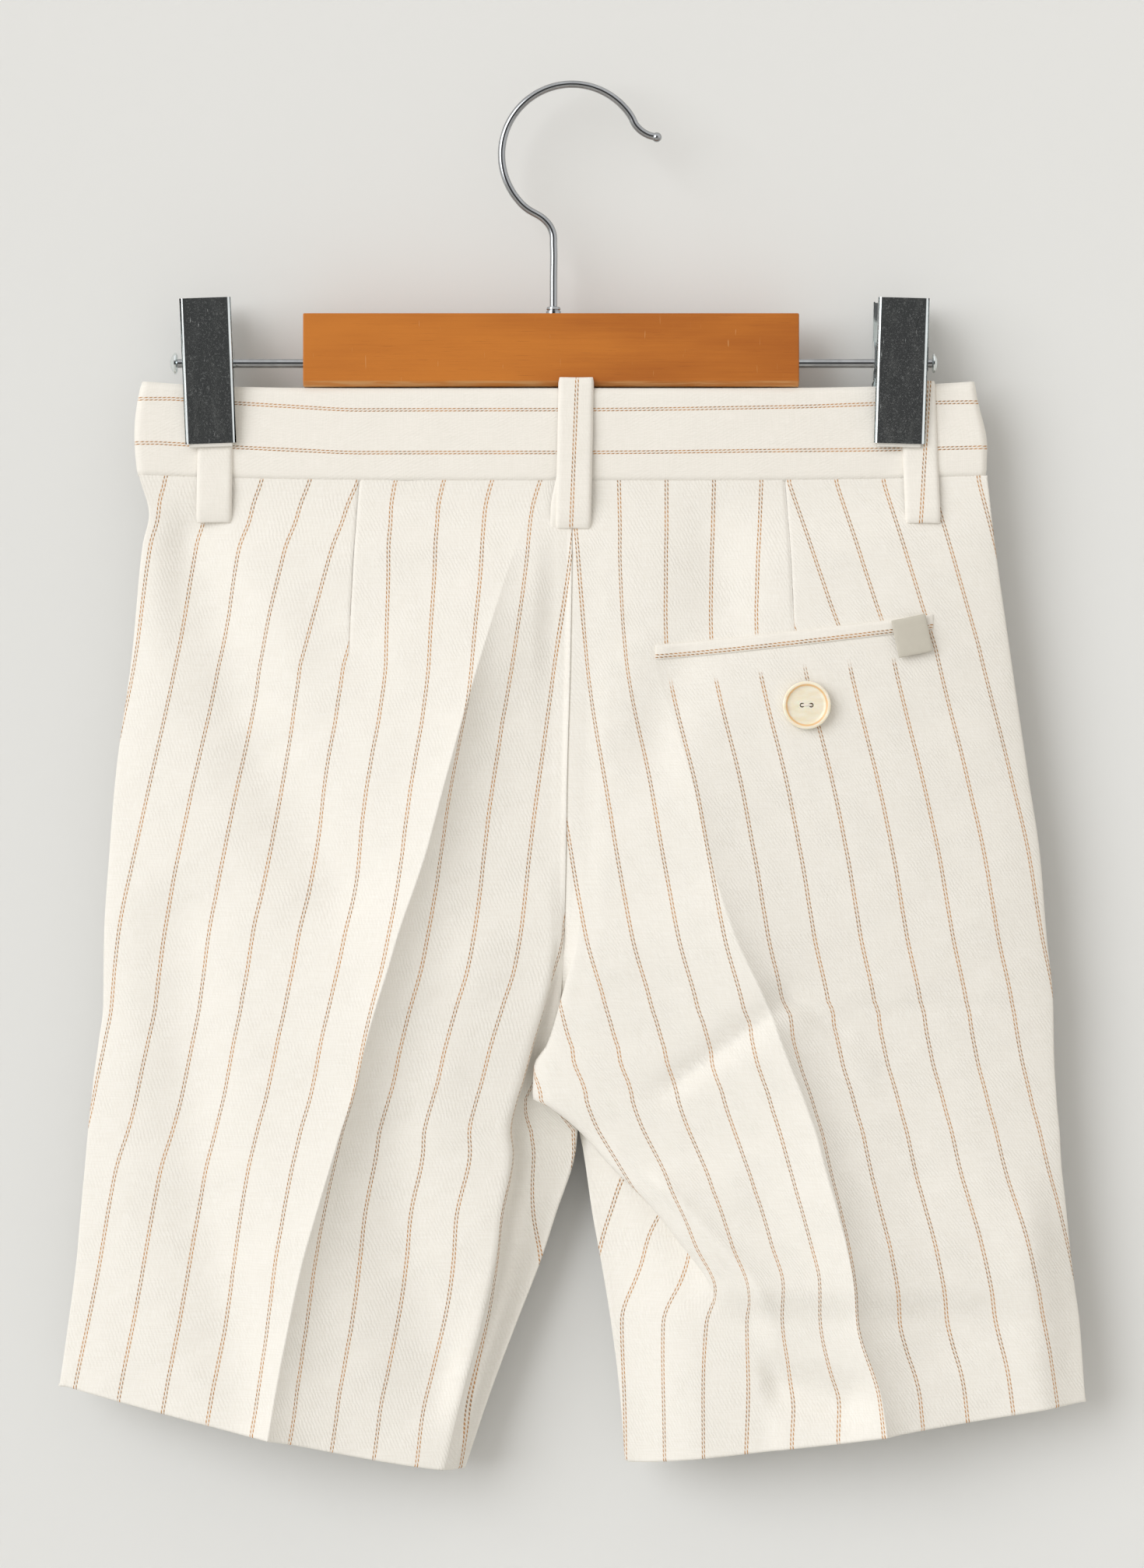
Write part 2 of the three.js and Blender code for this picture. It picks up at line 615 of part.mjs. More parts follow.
const LOOP_LIFT = 0.4;
const LOOP_SEAM_LIFT = 1.2;
function loopGeometry({ topX, bottomX, topZ, bottomZ, facing, bulge }) {
  const steps = 10;
  const rows = Array.from({ length: steps + 1 }, (_, i) => {
    const v = i / steps;
    const z = mix(topZ, bottomZ, v);
    const x = mix(topX, bottomX, v);
    const faces = [-0.5, 0, 0.5].map((u) => facing * faceAt(x + u * LOOP_WIDTH, z, facing));
    const overSeam = LOOP_SEAM_LIFT * smooth((v - 0.55) / 0.25) * smooth((1 - v) / 0.25);
    const standing = Math.max(...faces) + LOOP_LIFT + overSeam + bulge * Math.sin(Math.PI * v);
    const y = facing * (standing + LOOP_WALL);
    return [-0.5, 0.5].map((u) => new THREE.Vector3(x + u * LOOP_WIDTH, y, z));
  });
  return wallFrom(rows, -facing, LOOP_WALL);
}

LOOPS.forEach((loop) => addMesh(loop.name, loopGeometry(loop), clothBand));

// A patch that follows the cloth, moved out from it
function patchGeometry({ corner, facing, wall, lift, columns, rows }) {
  const points = Array.from({ length: rows + 1 }, (_, r) => Array.from({ length: columns + 1 }, (_, c) => {
    const [x, z] = corner(c / columns, r / rows);
    return new THREE.Vector3(x, faceAt(x, z, facing) + facing * (lift + wall), z);
  }));
  return wallFrom(points, -facing, wall);
}

const WELT = {
  left: 28.1, right: 120.3, leftTop: -187, rightTop: -176.8, bend: 1.15, height: 4.6, wall: 1.3, lift: 0.6,
};
addMesh('pocket_welt', patchGeometry({
  corner: (u, v) => {
    const topZ = mix(WELT.leftTop, WELT.rightTop, u ** WELT.bend);
    return [mix(WELT.left, WELT.right, u), topZ - WELT.height * v];
  },
  facing: -1, wall: WELT.wall, lift: WELT.lift, columns: 14, rows: 1,
}), clothBand);

const TAB = { x: 106.6, topZ: -179, width: 11, height: 12, slant: 0.21, wall: 0.8 };
addMesh('label_tab', patchGeometry({
  corner: (u, v) => [
    TAB.x + TAB.width * u + TAB.slant * TAB.height * v,
    TAB.topZ + TAB.slant * TAB.width * u - TAB.height * v,
  ],
  facing: -1, wall: TAB.wall, lift: WELT.lift + WELT.wall + SEAM_GAP, columns: 3, rows: 3,
}), tabCloth);

// Buttons: a rimmed disc with two holes, its thread side against the cloth
function buttonGeometry(radius, wall) {
  const profile = [
    [0, 0], [radius * 0.8, 0], [radius, wall * 0.4], [radius, wall * 0.75], [radius * 0.92, wall],
    [radius * 0.8, wall * 0.9], [radius * 0.74, wall * 0.6], [0, wall * 0.5],
  ];
  const disc = new THREE.LatheGeometry(profile.map(([r, h]) => new THREE.Vector2(r, h)), 28);
  const holeRadius = 0.11 * radius;
  const holes = [-1, 1].map((side) => {
    const hole = new THREE.CylinderGeometry(holeRadius, holeRadius, 4 * wall, 8);
    return toManifold(hole.translate(side * 0.2 * radius, 0, 0));
  });
  return fromManifold(holes.reduce((solid, hole) => solid.subtract(hole), toManifold(disc)));
}

function addButton(name, x, y, z, radius, wall, facing) {
  const geometry = buttonGeometry(radius, wall);
  if (facing < 0) geometry.rotateX(Math.PI);
  addMesh(name, geometry.translate(x, y, z), buttonResin);
}

const POCKET_BUTTON = { x: 77.7, z: -206.7, radius: 8, wall: 2.4 };
addButton(
  'pocket_button', POCKET_BUTTON.x, faceAt(POCKET_BUTTON.x, POCKET_BUTTON.z, -1) - 0.9, POCKET_BUTTON.z,
  POCKET_BUTTON.radius, POCKET_BUTTON.wall, -1,
);
const WAIST_BUTTON = { x: 4, z: -116, radius: 7, wall: 2.4 };
addButton(
  'waist_button', WAIST_BUTTON.x, bandDepth(0) + BAND_WALL / 2 + LAP.lift + SEAM_GAP, WAIST_BUTTON.z,
  WAIST_BUTTON.radius, WAIST_BUTTON.wall, 1,
);

// Fly: lies over the centre front seam, with a curved lower end
const FLY = { width: 27, overlap: 3, topZ: -133.4, straight: 62, curve: 26, wall: 1, lift: 0.7 };
addMesh('fly', patchGeometry({
  corner: (u, v) => {
    const depth = FLY.straight + FLY.curve * Math.sqrt(1 - (1 - u) ** 2);
    return [FLY.overlap - FLY.width * (1 - u), FLY.topZ - v * depth];
  },
  facing: 1, wall: FLY.wall, lift: FLY.lift, columns: 6, rows: 8,
}), clothBand);

// Hanger: bar and hook

const halfDepth = BAR.depth / 2;
const barBottomZ = BAR.topZ - BAR.height;
const barProfile = polygon([
  [-halfDepth + BAR.chamfer / 3, BAR.topZ], [halfDepth - BAR.chamfer / 3, BAR.topZ],
  [halfDepth, BAR.topZ - BAR.chamfer / 3], [halfDepth, barBottomZ + BAR.chamfer],
  [halfDepth - BAR.chamfer, barBottomZ], [-halfDepth + BAR.chamfer, barBottomZ],
  [-halfDepth, barBottomZ + BAR.chamfer], [-halfDepth, BAR.topZ - BAR.chamfer / 3],
]);
const barLeftX = BAR.centreX - BAR.length / 2;
const barRightX = BAR.centreX + BAR.length / 2;
addMesh('wood_bar', extrudeX(barProfile, barLeftX, barRightX), wood);

const HOOK_ARC = { fromDegrees: 24, toDegrees: 228, steps: 16 };
const HOOK_TIP = { x: 28.4, z: -16.5, radius: 1.65 };
const hookCentreZ = WIRE_RADIUS - HOOK_RADIUS;
function hookPoints() {
  const arc = Array.from({ length: HOOK_ARC.steps + 1 }, (_, i) => {
    const degrees = mix(HOOK_ARC.fromDegrees, HOOK_ARC.toDegrees, i / HOOK_ARC.steps);
    const angle = THREE.MathUtils.degToRad(degrees);
    return [HOOK_RADIUS * Math.cos(angle), hookCentreZ + HOOK_RADIUS * Math.sin(angle)];
  });
  const tip = [[HOOK_TIP.x, HOOK_TIP.z], [25.2, -15.6]];
  const neck = [[-8.8, -44.6], [-6.6, -48.2], [STEM_X, -53], [STEM_X, -64], [STEM_X, BAR.topZ + SEAM_GAP]];
  return [...tip, ...arc, ...neck].map(([x, z]) => new THREE.Vector3(x, 0, z));
}

const wireSection = new THREE.Shape().absarc(0, 0, WIRE_RADIUS, 0, 2 * Math.PI);
const hookCurve = new THREE.CatmullRomCurve3(hookPoints(), false, 'centripetal');
const hookWire = new THREE.ExtrudeGeometry(wireSection, { steps: 54, extrudePath: hookCurve, curveSegments: 5 });
const hookTip = new THREE.SphereGeometry(HOOK_TIP.radius, 12, 8).translate(HOOK_TIP.x, 0, HOOK_TIP.z);
addMesh('hook', joined(hookWire, hookTip), chrome);

const NUT = { radius: 2.5, height: 2.5 };
const nutBore = WIRE_RADIUS + SEAM_GAP;
const nutProfile = [
  [nutBore, 0], [NUT.radius, 0], [NUT.radius, NUT.height * 0.7], [NUT.radius * 0.8, NUT.height],
  [nutBore, NUT.height], [nutBore, 0],
];
const nut = new THREE.LatheGeometry(nutProfile.map(([r, h]) => new THREE.Vector2(r, h)), 16);
addMesh('hook_nut', nut.rotateX(Math.PI / 2).translate(STEM_X, 0, BAR.topZ + SEAM_GAP), chrome);

// Hanger: rods and clips

// Side of a clip plate: the flange that runs down the plate and the ear that reaches the rod
const EAR_BLEND = 3;
const EAR_BORE = ROD_RADIUS + 0.6;
function plateInner(z) {
  return mix(PLATE.innerBottom, PLATE.innerTop, (z - PLATE.bottom) / (PLATE.top - PLATE.bottom));
}

function plateSide(facing, flange) {
  const edgeAt = (z) => {
    const up = (z - PLATE.bottom) / (PLATE.top - PLATE.bottom);
    return plateInner(z) - mix(flange.bottom, flange.top, up);
  };
  const besideEar = flange.ear + EAR_BLEND;
  const ear = [75, 105, 135, 180, 225, 255, 285].map((degrees) => {
    const angle = THREE.MathUtils.degToRad(degrees);
    return [flange.ear * Math.cos(angle), flange.ear * Math.sin(angle)];
  });
  const outline = [
    [PLATE.innerBottom + PLATE.wall / 2, PLATE.bottom], [PLATE.innerTop + PLATE.wall / 2, PLATE.top],
    [edgeAt(PLATE.top), PLATE.top], [edgeAt(besideEar), besideEar],
    ...ear,
    [edgeAt(-besideEar), -besideEar], [edgeAt(PLATE.bottom), PLATE.bottom],
  ];
  const shape = polygon(outline.map(([y, z]) => [facing * y, z]));
  shape.holes.push(new THREE.Path().absarc(0, 0, EAR_BORE, 0, 2 * Math.PI));
  return shape;
}

function plateFace(facing) {
  const { wall, top, bottom, innerTop, innerBottom } = PLATE;
  const corners = [[innerBottom, bottom], [innerBottom + wall, bottom], [innerTop + wall, top], [innerTop, top]];
  return polygon(corners.map(([y, z]) => [facing * y, z]));
}

// The plate on the far side is wider, so its ears lie outside those of the near one
function clipPlate(facing, halfWidth) {
  const flange = facing < 0 ? { top: 3.5, bottom: 0.9, ear: 4 } : { top: 3.5, bottom: 1.2, ear: 4.9 };
  const side = plateSide(facing, flange);
  const face = extrudeX(plateFace(facing), -halfWidth, halfWidth);
  const cheeks = [-1, 1].map((end) => {
    const outer = end * halfWidth;
    const inner = end * (halfWidth - PLATE.wall);
    return extrudeX(side, Math.min(outer, inner), Math.max(outer, inner), 4);
  });
  return joined(face, ...cheeks);
}

const PAD = { width: 13, height: 8.5, inset: 0.5 };
function padGeometry(facing, face) {
  const bottom = PLATE.bottom + PAD.inset;
  const top = bottom + PAD.height;
  const profile = [
    [face, bottom], [plateInner(bottom) - SEAM_GAP, bottom], [plateInner(top) - SEAM_GAP, top],
    [face + PAD.inset, top],
  ];
  return extrudeX(polygon(profile.map(([y, z]) => [facing * y, z])), -PAD.width / 2, PAD.width / 2);
}

const bandFaceAtClips = bandDepth(CLIPS[0].x) + BAND_WALL / 2;
const loopFaceAtClips = bandFaceAtClips + LOOP_LIFT + LOOP_WALL;
const SPRING = { bore: ROD_RADIUS + SEAM_GAP, radius: 3.1, length: 11 };
const EAR_CLEARANCE = 0.35;

CLIPS.forEach(({ name, x, tilt, side, capRadius, capLength }) => {
  const clip = new THREE.Group();
  clip.position.set(x, 0, ROD_Z);
  clip.rotation.y = THREE.MathUtils.degToRad(tilt);
  shorts.add(clip);
  const half = PLATE.width / 2;
  addMesh(`clip_${name}_back_view_plate`, clipPlate(-1, half), chrome, clip);
  addMesh(`clip_${name}_far_plate`, clipPlate(1, half + PLATE.wall + EAR_CLEARANCE), chrome, clip);
  addMesh(`clip_${name}_pad`, padGeometry(-1, loopFaceAtClips + SEAM_GAP), padRubber, clip);
  addMesh(`clip_${name}_far_pad`, padGeometry(1, bandFaceAtClips + SEAM_GAP), padRubber, clip);
  const springProfile = [
    [SPRING.bore, -SPRING.length / 2], [SPRING.radius, -SPRING.length / 2],
    [SPRING.radius, SPRING.length / 2], [SPRING.bore, SPRING.length / 2], [SPRING.bore, -SPRING.length / 2],
  ];
  addMesh(`clip_${name}_spring`, turnedX(springProfile, 14).translate(x, 0, ROD_Z), chrome);
  const barEnd = side < 0 ? barLeftX : barRightX;
  const outside = x + side * (half + 2 * PLATE.wall + 2 * EAR_CLEARANCE);
  const rodFrom = Math.min(barEnd + side * SEAM_GAP, outside);
  const rodTo = Math.max(barEnd + side * SEAM_GAP, outside);
  const rodProfile = [[0, rodFrom], [ROD_RADIUS, rodFrom], [ROD_RADIUS, rodTo], [0, rodTo]];
  addMesh(`rod_${name}`, turnedX(rodProfile, 14).translate(0, 0, ROD_Z), chrome);
  const capProfile = [
    [0, 0], [capRadius * 0.8, 0], [capRadius, capLength * 0.4], [capRadius * 0.55, capLength], [0, capLength],
  ];
  const cap = turnedX(capProfile.map(([r, h]) => [r, side * h]), 16);
  addMesh(`rod_cap_${name}`, cap.translate(outside + side * SEAM_GAP, 0, ROD_Z), chrome);
});

export default shorts;
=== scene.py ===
"""Looks of a pair of pinstriped bermuda shorts that hang from a wooden clip hanger.

Sizes are in millimetres, +Z is up, +X is to the right of the back view and the back of the shorts
faces -Y. The origin is the inside top of the hanger's hook. A mesh is turned to metres as it is made.
"""

from __future__ import annotations

import logging
import math
from dataclasses import dataclass, field
from enum import Enum
from typing import Callable, Sequence

import bmesh
import bpy
import numpy as np
from mathutils import Matrix, Vector

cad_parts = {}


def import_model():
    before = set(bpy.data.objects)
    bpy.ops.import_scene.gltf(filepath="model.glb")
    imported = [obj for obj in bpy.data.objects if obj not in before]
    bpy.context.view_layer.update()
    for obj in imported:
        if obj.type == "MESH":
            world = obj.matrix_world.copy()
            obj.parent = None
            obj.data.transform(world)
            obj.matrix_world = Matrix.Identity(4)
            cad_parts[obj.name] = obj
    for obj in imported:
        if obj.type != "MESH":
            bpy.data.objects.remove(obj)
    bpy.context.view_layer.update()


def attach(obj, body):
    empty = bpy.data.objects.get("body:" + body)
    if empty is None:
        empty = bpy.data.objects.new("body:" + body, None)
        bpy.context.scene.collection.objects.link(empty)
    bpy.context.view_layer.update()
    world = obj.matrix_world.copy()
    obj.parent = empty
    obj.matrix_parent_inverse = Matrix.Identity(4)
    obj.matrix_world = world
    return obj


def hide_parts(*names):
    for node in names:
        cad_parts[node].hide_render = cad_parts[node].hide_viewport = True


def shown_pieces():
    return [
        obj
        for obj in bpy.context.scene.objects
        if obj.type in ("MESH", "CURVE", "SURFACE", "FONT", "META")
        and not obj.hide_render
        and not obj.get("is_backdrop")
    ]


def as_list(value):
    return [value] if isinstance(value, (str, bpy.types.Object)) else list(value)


LOG = logging.getLogger("shorts")
MM = 0.001
BODY = "root"

# Driving sizes of the cloth
CLOTH_WALL = 0.9
HEM_WALL = 1.5
HEM_HEIGHT = 28.0
BAND_WALL = 2.0
SEAM_GAP = 0.3
SEWN_GAP = 0.02
TUCKED_UNDER = 0.5
SIDE_Y = 1.35
WAIST_Z = -131.0
HALF_WAIST = 140.0
CROTCH_Z = -349.0
NEAR_HEM_Z = -450.0
STRIPE_PITCH = 15.6

# Driving sizes of the hanger
ROD_Z = -92.3
ROD_RADIUS = 1.5
WIRE_RADIUS = 1.25
HOOK_RADIUS = 23.6
STEM_X = -6.2

# Tolerance, in metres, for points that lie on the same plane
TINY = 1e-6

Array = np.ndarray
Values = Array | float
Pair = tuple[float, float]
Triple = tuple[float, float, float]
Colour = Triple
Table = list[tuple[float, ...]]
Piece = bpy.types.Object
Material = bpy.types.Material
Socket = bpy.types.NodeSocket
Column = Callable[[Array], tuple[Array, Array]]


class Side(Enum):
    """Which half of the shorts a piece belongs to, as the sign of its X."""

    LEFT = -1
    RIGHT = 1

    @property
    def word(self) -> str:
        """The side's word in the names of pieces."""
        return self.name.lower()


class Facing(Enum):
    """Which way an outer face looks, as the sign of its Y."""

    BACK = -1
    FRONT = 1


class FoldShape(Enum):
    """Cross section of a fold in the cloth."""

    SOFT = "soft"
    PRESSED = "pressed"


class Kind(Enum):
    """What is selected in edit mode, as Blender names its list."""

    FACE = "faces"
    EDGE = "edges"


# Interpolation


def mix(a: Values, b: Values, t: Values) -> Array:
    """Blend from a at t = 0 to b at t = 1."""
    return a + (np.asarray(b) - a) * t


def smooth(t: Values) -> Array:
    """Smooth step from 0 to 1, flat outside that range."""
    s = np.clip(t, 0.0, 1.0)
    return s * s * (3.0 - 2.0 * s)


class Track:
    """A smooth curve down one column of a table, with no overshoot between its rows."""

    def __init__(self, rows: Table, column: int) -> None:
        """Take one column of a table whose first column is the height, highest first.

        Args:
            rows: The table's rows.
            column: The column to follow.
        """
        self.depths = -np.array([row[0] for row in rows])
        self.values = np.array([row[column] for row in rows])
        self.slopes = np.diff(self.values) / np.diff(self.depths)
        before = np.concatenate([self.slopes[:1], self.slopes])
        after = np.concatenate([self.slopes, self.slopes[-1:]])
        total = np.where(before + after == 0.0, 1.0, before + after)
        self.tangents = np.where(before * after <= 0.0, 0.0, 2.0 * before * after / total)

    def __call__(self, z: Values) -> Array:
        """Return the value at each height z."""
        depth = np.clip(-np.asarray(z, float), self.depths[0], self.depths[-1])
        i = np.clip(np.searchsorted(self.depths, depth, side="right") - 1, 0, len(self.slopes) - 1)
        span = self.depths[i + 1] - self.depths[i]
        t = (depth - self.depths[i]) / span
        rise = (2 * t**3 - 3 * t**2 + 1) * self.values[i] + (3 * t**2 - 2 * t**3) * self.values[i + 1]
        lean = (t**3 - 2 * t**2 + t) * self.tangents[i] + (t**3 - t**2) * self.tangents[i + 1]
        return rise + lean * span


def eased(track: Track, z: Array, reach: float) -> Array:
    """Return a track's mean over a reach above and below each height."""
    offsets = np.linspace(-reach, reach, 9)
    return sum(track(z + offset) for offset in offsets) / len(offsets)


def tracks(rows: Table, names: Sequence[str]) -> dict[str, Track]:
    """Return one track for each named column after the height."""
    return {name: Track(rows, i + 1) for i, name in enumerate(names)}


# Edges that both halves of the shorts share


def waist_seam_z(x: Values) -> Array:
    """Return the height of the seam between waistband and panels."""
    return -132.3 + 1.9 * np.abs(np.asarray(x) / HALF_WAIST) ** 3


def band_top_z(x: Values) -> Array:
    """Return the height of the waistband's top edge."""
    share = np.asarray(x, float) / HALF_WAIST
    return -101.0 + np.where(share < 0, 2.3 * np.abs(share) ** 5, 3.0 * share**4)


def band_depth(x: Values) -> Array:
    """Return how far the waistband's middle surface bows away from the centre plane."""
    x = np.asarray(x, float)
    reach = np.where(x < 0, 116.0, 105.0)
    return 1.6 + 3.5 * np.maximum(0.0, 1.0 - (x / reach) ** 2)


def hem_z(side: Side, m: Values) -> Array:
    """Return the height of the hem at a distance m from the centre line."""
    m = np.asarray(m, float)
    if side is Side.LEFT:
        return -461.8 + 27.6 * np.clip((m - 37.0) / 134.6, 0.0, 1.0) ** 1.25
    return -459.4 + 20.0 * np.clip((m - 24.0) / 148.0, 0.0, 1.0) ** 1.2


def under_band(x: Array, z: Array, depth: Array, facing: Facing) -> Array:
    """Bring a panel's depth out from just behind the waistband's face.

    Args:
        x: Places across.
        z: Heights.
        depth: The panel's own depth, clear of the band.
        facing: The side that the panel faces.

    Returns:
        The depth with the start at the waist seam.
    """
    start = facing.value * (band_depth(x) + 0.7)
    return mix(start, depth, smooth((waist_seam_z(x) - z) / 26.0))


def ripple(x: Array, z: Array, size: float, phase: float) -> Array:
    """Return a gentle irregular wave between -1 and 1, the same on every run.

    Args:
        x: Places across.
        z: Heights.
        size: Wave length in millimetres.
        phase: Shifts the pattern.

    Returns:
        The wave's height at each place.
    """
    waves = ((1.0, 0.23, 0.4), (0.62, -0.87, 1.9), (-0.31, 1.14, 3.1), (1.43, 0.66, 4.4), (0.9, -1.5, 5.7))
    scale = 2.0 * math.pi / size
    total = sum(np.sin(scale * (a * x + b * z) + c + phase * (1.0 + c)) for a, b, c in waves)
    return total / len(waves)


@dataclass(frozen=True)
class Fold:
    """A fold in the cloth, along a line from one place to another. A positive depth is a valley."""

    from_x: float
    from_z: float
    to_x: float
    to_z: float
    half_width: float
    depth: float
    shape: FoldShape = FoldShape.SOFT

    def relief(self, x: Array, z: Array) -> Array:
        """Return how far the fold moves the cloth towards the inside at each place."""
        run = np.array([self.to_x - self.from_x, self.to_z - self.from_z])
        along = ((x - self.from_x) * run[0] + (z - self.from_z) * run[1]) / (run @ run)
        nearest = np.clip(along, 0.0, 1.0)
        nearest_x = mix(self.from_x, self.to_x, nearest)
        nearest_z = mix(self.from_z, self.to_z, nearest)
        distance = np.hypot(x - nearest_x, z - nearest_z)
        if self.shape is FoldShape.PRESSED:
            fade = smooth(along * 6.0) * smooth((1.0 - along) * 6.0)
            return self.depth * np.exp(-distance / self.half_width) * fade
        return self.depth * np.exp(-((distance / self.half_width) ** 2))


def run_across(points: Array) -> Array:
    """Return how far each point of a row lies from the row's start, along the points."""
    steps = np.linalg.norm(np.diff(points, axis=-2), axis=-1)
    return np.concatenate([np.zeros((*steps.shape[:-1], 1)), np.cumsum(steps, axis=-1)], axis=-1)


def share_between(run: Array, first: int, last: int) -> Array:
    """Return the share of the way at each column from the first to the last."""
    start = run[:, first : first + 1]
    return (run[:, first : last + 1] - start) / (run[:, last : last + 1] - start)


def cloth_wall(z: Array, hem: Array) -> Array:
    """Return the cloth's thickness, which is doubled where the hem is turned up."""
    from_hem = (z - hem[None, :]) / HEM_HEIGHT
    return mix(HEM_WALL, CLOTH_WALL, smooth((from_hem - 0.96) * 12.0))


def relief_of(folds: Sequence[Fold], x: Array, z: Array) -> Array:
    """Return the sum of the reliefs of several folds."""
    total = np.zeros(np.broadcast(x, z).shape)
    for fold in folds:
        total = total + fold.relief(x, z)
    return total


# Meshes from points


def new_object(name: str, data: bpy.types.ID) -> Piece:
    """Link a new object that holds a mesh, a curve, a light or a camera."""
    obj = bpy.data.objects.new(name, data)
    bpy.context.scene.collection.objects.link(obj)
    return obj


def select_none() -> None:
    """Deselect every object, so that an operator acts on the next new one alone."""
    bpy.ops.object.select_all(action="DESELECT")


def select_only(obj: Piece) -> None:
    """Make an object the only selected one, and the active one."""
    select_none()
    obj.select_set(True)
    bpy.context.view_layer.objects.active = obj


def edit_mode(on: bool) -> None:
    """Enter edit mode, or leave it."""
    bpy.ops.object.mode_set(mode="EDIT" if on else "OBJECT")


def close_and_turn_outwards(obj: Piece) -> None:
    """Merge doubled points and make every face point outwards."""
    select_only(obj)
    edit_mode(True)
    bpy.ops.mesh.select_all(action="SELECT")
    bpy.ops.mesh.remove_doubles(threshold=2e-6)
    bpy.ops.mesh.normals_make_consistent(inside=False)
    edit_mode(False)


def mesh_object(
    name: str, points: Array, faces: list[Sequence[int]], weave: Array, plain: Array | None = None
) -> Piece:
    """Make a smooth closed mesh with its weave coordinates.

    Args:
        name: The piece's name.
        points: Places in millimetres, one row each.
        faces: Corner numbers of each face.
        weave: Stripe pitches across and along, one row for each point.
        plain: 1 at each of the first points that shows no stripe, and 0 at the others.

    Returns:
        The new object.
    """
    mesh = bpy.data.meshes.new(name)
    mesh.from_pydata((points * MM).tolist(), [], faces)
    corners = np.zeros(len(mesh.loops), int)
    mesh.loops.foreach_get("vertex_index", corners)
    layer = mesh.uv_layers.new(name="weave")
    layer.data.foreach_set("uv", weave[corners].astype(np.float32).ravel())
    if plain is not None:
        values = np.zeros(len(points), np.float32)
        values[: len(plain)] = plain
        mesh.attributes.new("plain", "FLOAT", "POINT").data.foreach_set("value", values)
    obj = new_object(name, mesh)
    close_and_turn_outwards(obj)
    mesh.shade_smooth()
    return obj


@dataclass
class ClothGrid:
    """The outer face of a piece of cloth, as rows of points, with its wall and weave.

    The top, right, bottom and left edges are rounded by the shares in rounded.
    """

    points: Array
    weave: Array
    wall: Array
    facing: Facing
    rounded: tuple[float, float, float, float] = (0.0, 0.0, 1.0, 0.0)
    plain: Array | None = None

    EDGE_REACH = 4.0
    RIM_STEPS = 3

    def inward(self) -> Array:
        """Return the direction from the outer to the inner face at each point."""
        p = self.points
        across = np.empty_like(p)
        across[:, 1:-1] = p[:, 2:] - p[:, :-2]
        across[:, 0] = p[:, 1] - p[:, 0]
        across[:, -1] = p[:, -1] - p[:, -2]
        down = np.empty_like(p)
        down[1:-1] = p[2:] - p[:-2]
        down[0] = p[1] - p[0]
        down[-1] = p[-1] - p[-2]
        normal = np.cross(across, down)
        normal /= np.linalg.norm(normal, axis=2, keepdims=True)
        chord = np.cross(p[:, -1:] - p[:, :1], down)
        flip = np.where(chord[..., 1] * -self.facing.value < 0.0, -1.0, 1.0)
        normal = normal * flip[..., None]
        from_edge = np.minimum(*(np.linalg.norm(p - edge, axis=2) for edge in (p[:, :1], p[:, -1:])))
        straight = np.zeros_like(p)
        straight[..., 1] = -self.facing.value
        blended = mix(straight, normal, smooth(from_edge / self.EDGE_REACH)[..., None])
        return blended / np.linalg.norm(blended, axis=2, keepdims=True)

    def build(self, name: str) -> Piece:
        """Make the closed sheet, with rounded rims where the edges are free.

        Args:
            name: The piece's name.

        Returns:
            The new object.
        """
        rows, columns = self.points.shape[:2]
        outer = self.points
        inner = outer + self.inward() * self.wall[..., None]
        number = np.arange(rows * columns).reshape(rows, columns)
        edges = (number[0, :-1], number[:-1, -1], number[-1, :0:-1], number[:0:-1, 0])
        rim = np.concatenate(edges)
        row, column = np.divmod(rim, columns)
        bulge = np.repeat(self.rounded, [len(edge) for edge in edges])
        out = outer[row, column] - outer[np.clip(row, 1, rows - 2), np.clip(column, 1, columns - 2)]
        out /= np.linalg.norm(out, axis=1, keepdims=True)
        half = self.wall[row, column] / 2.0
        layers = [outer.reshape(-1, 3), inner.reshape(-1, 3)]
        weaves = [self.weave.reshape(-1, 2)] * 2
        rings = [rim]
        start = 2 * rows * columns
        for step in range(1, self.RIM_STEPS + 1):
            angle = math.pi * step / (self.RIM_STEPS + 1)
            place = mix(outer[row, column], inner[row, column], (1.0 - math.cos(angle)) / 2.0)
            layers.append(place + out * (half * bulge * math.sin(angle))[:, None])
            weaves.append(self.weave[row, column])
            rings.append(start + np.arange(len(rim)))
            start += len(rim)
        rings.append(rim + rows * columns)
        quads = np.stack([number[:-1, :-1], number[:-1, 1:], number[1:, 1:], number[1:, :-1]], axis=-1)
        faces = quads.reshape(-1, 4).tolist()
        faces += (quads[..., ::-1] + rows * columns).reshape(-1, 4).tolist()
        for near, far in zip(rings, rings[1:]):
            strip = np.stack([near, far, np.roll(far, -1), np.roll(near, -1)], axis=-1)
            faces += strip.tolist()
        plain = None if self.plain is None else self.plain.ravel()
        return mesh_object(name, np.concatenate(layers), faces, np.concatenate(weaves), plain)


# Finishes


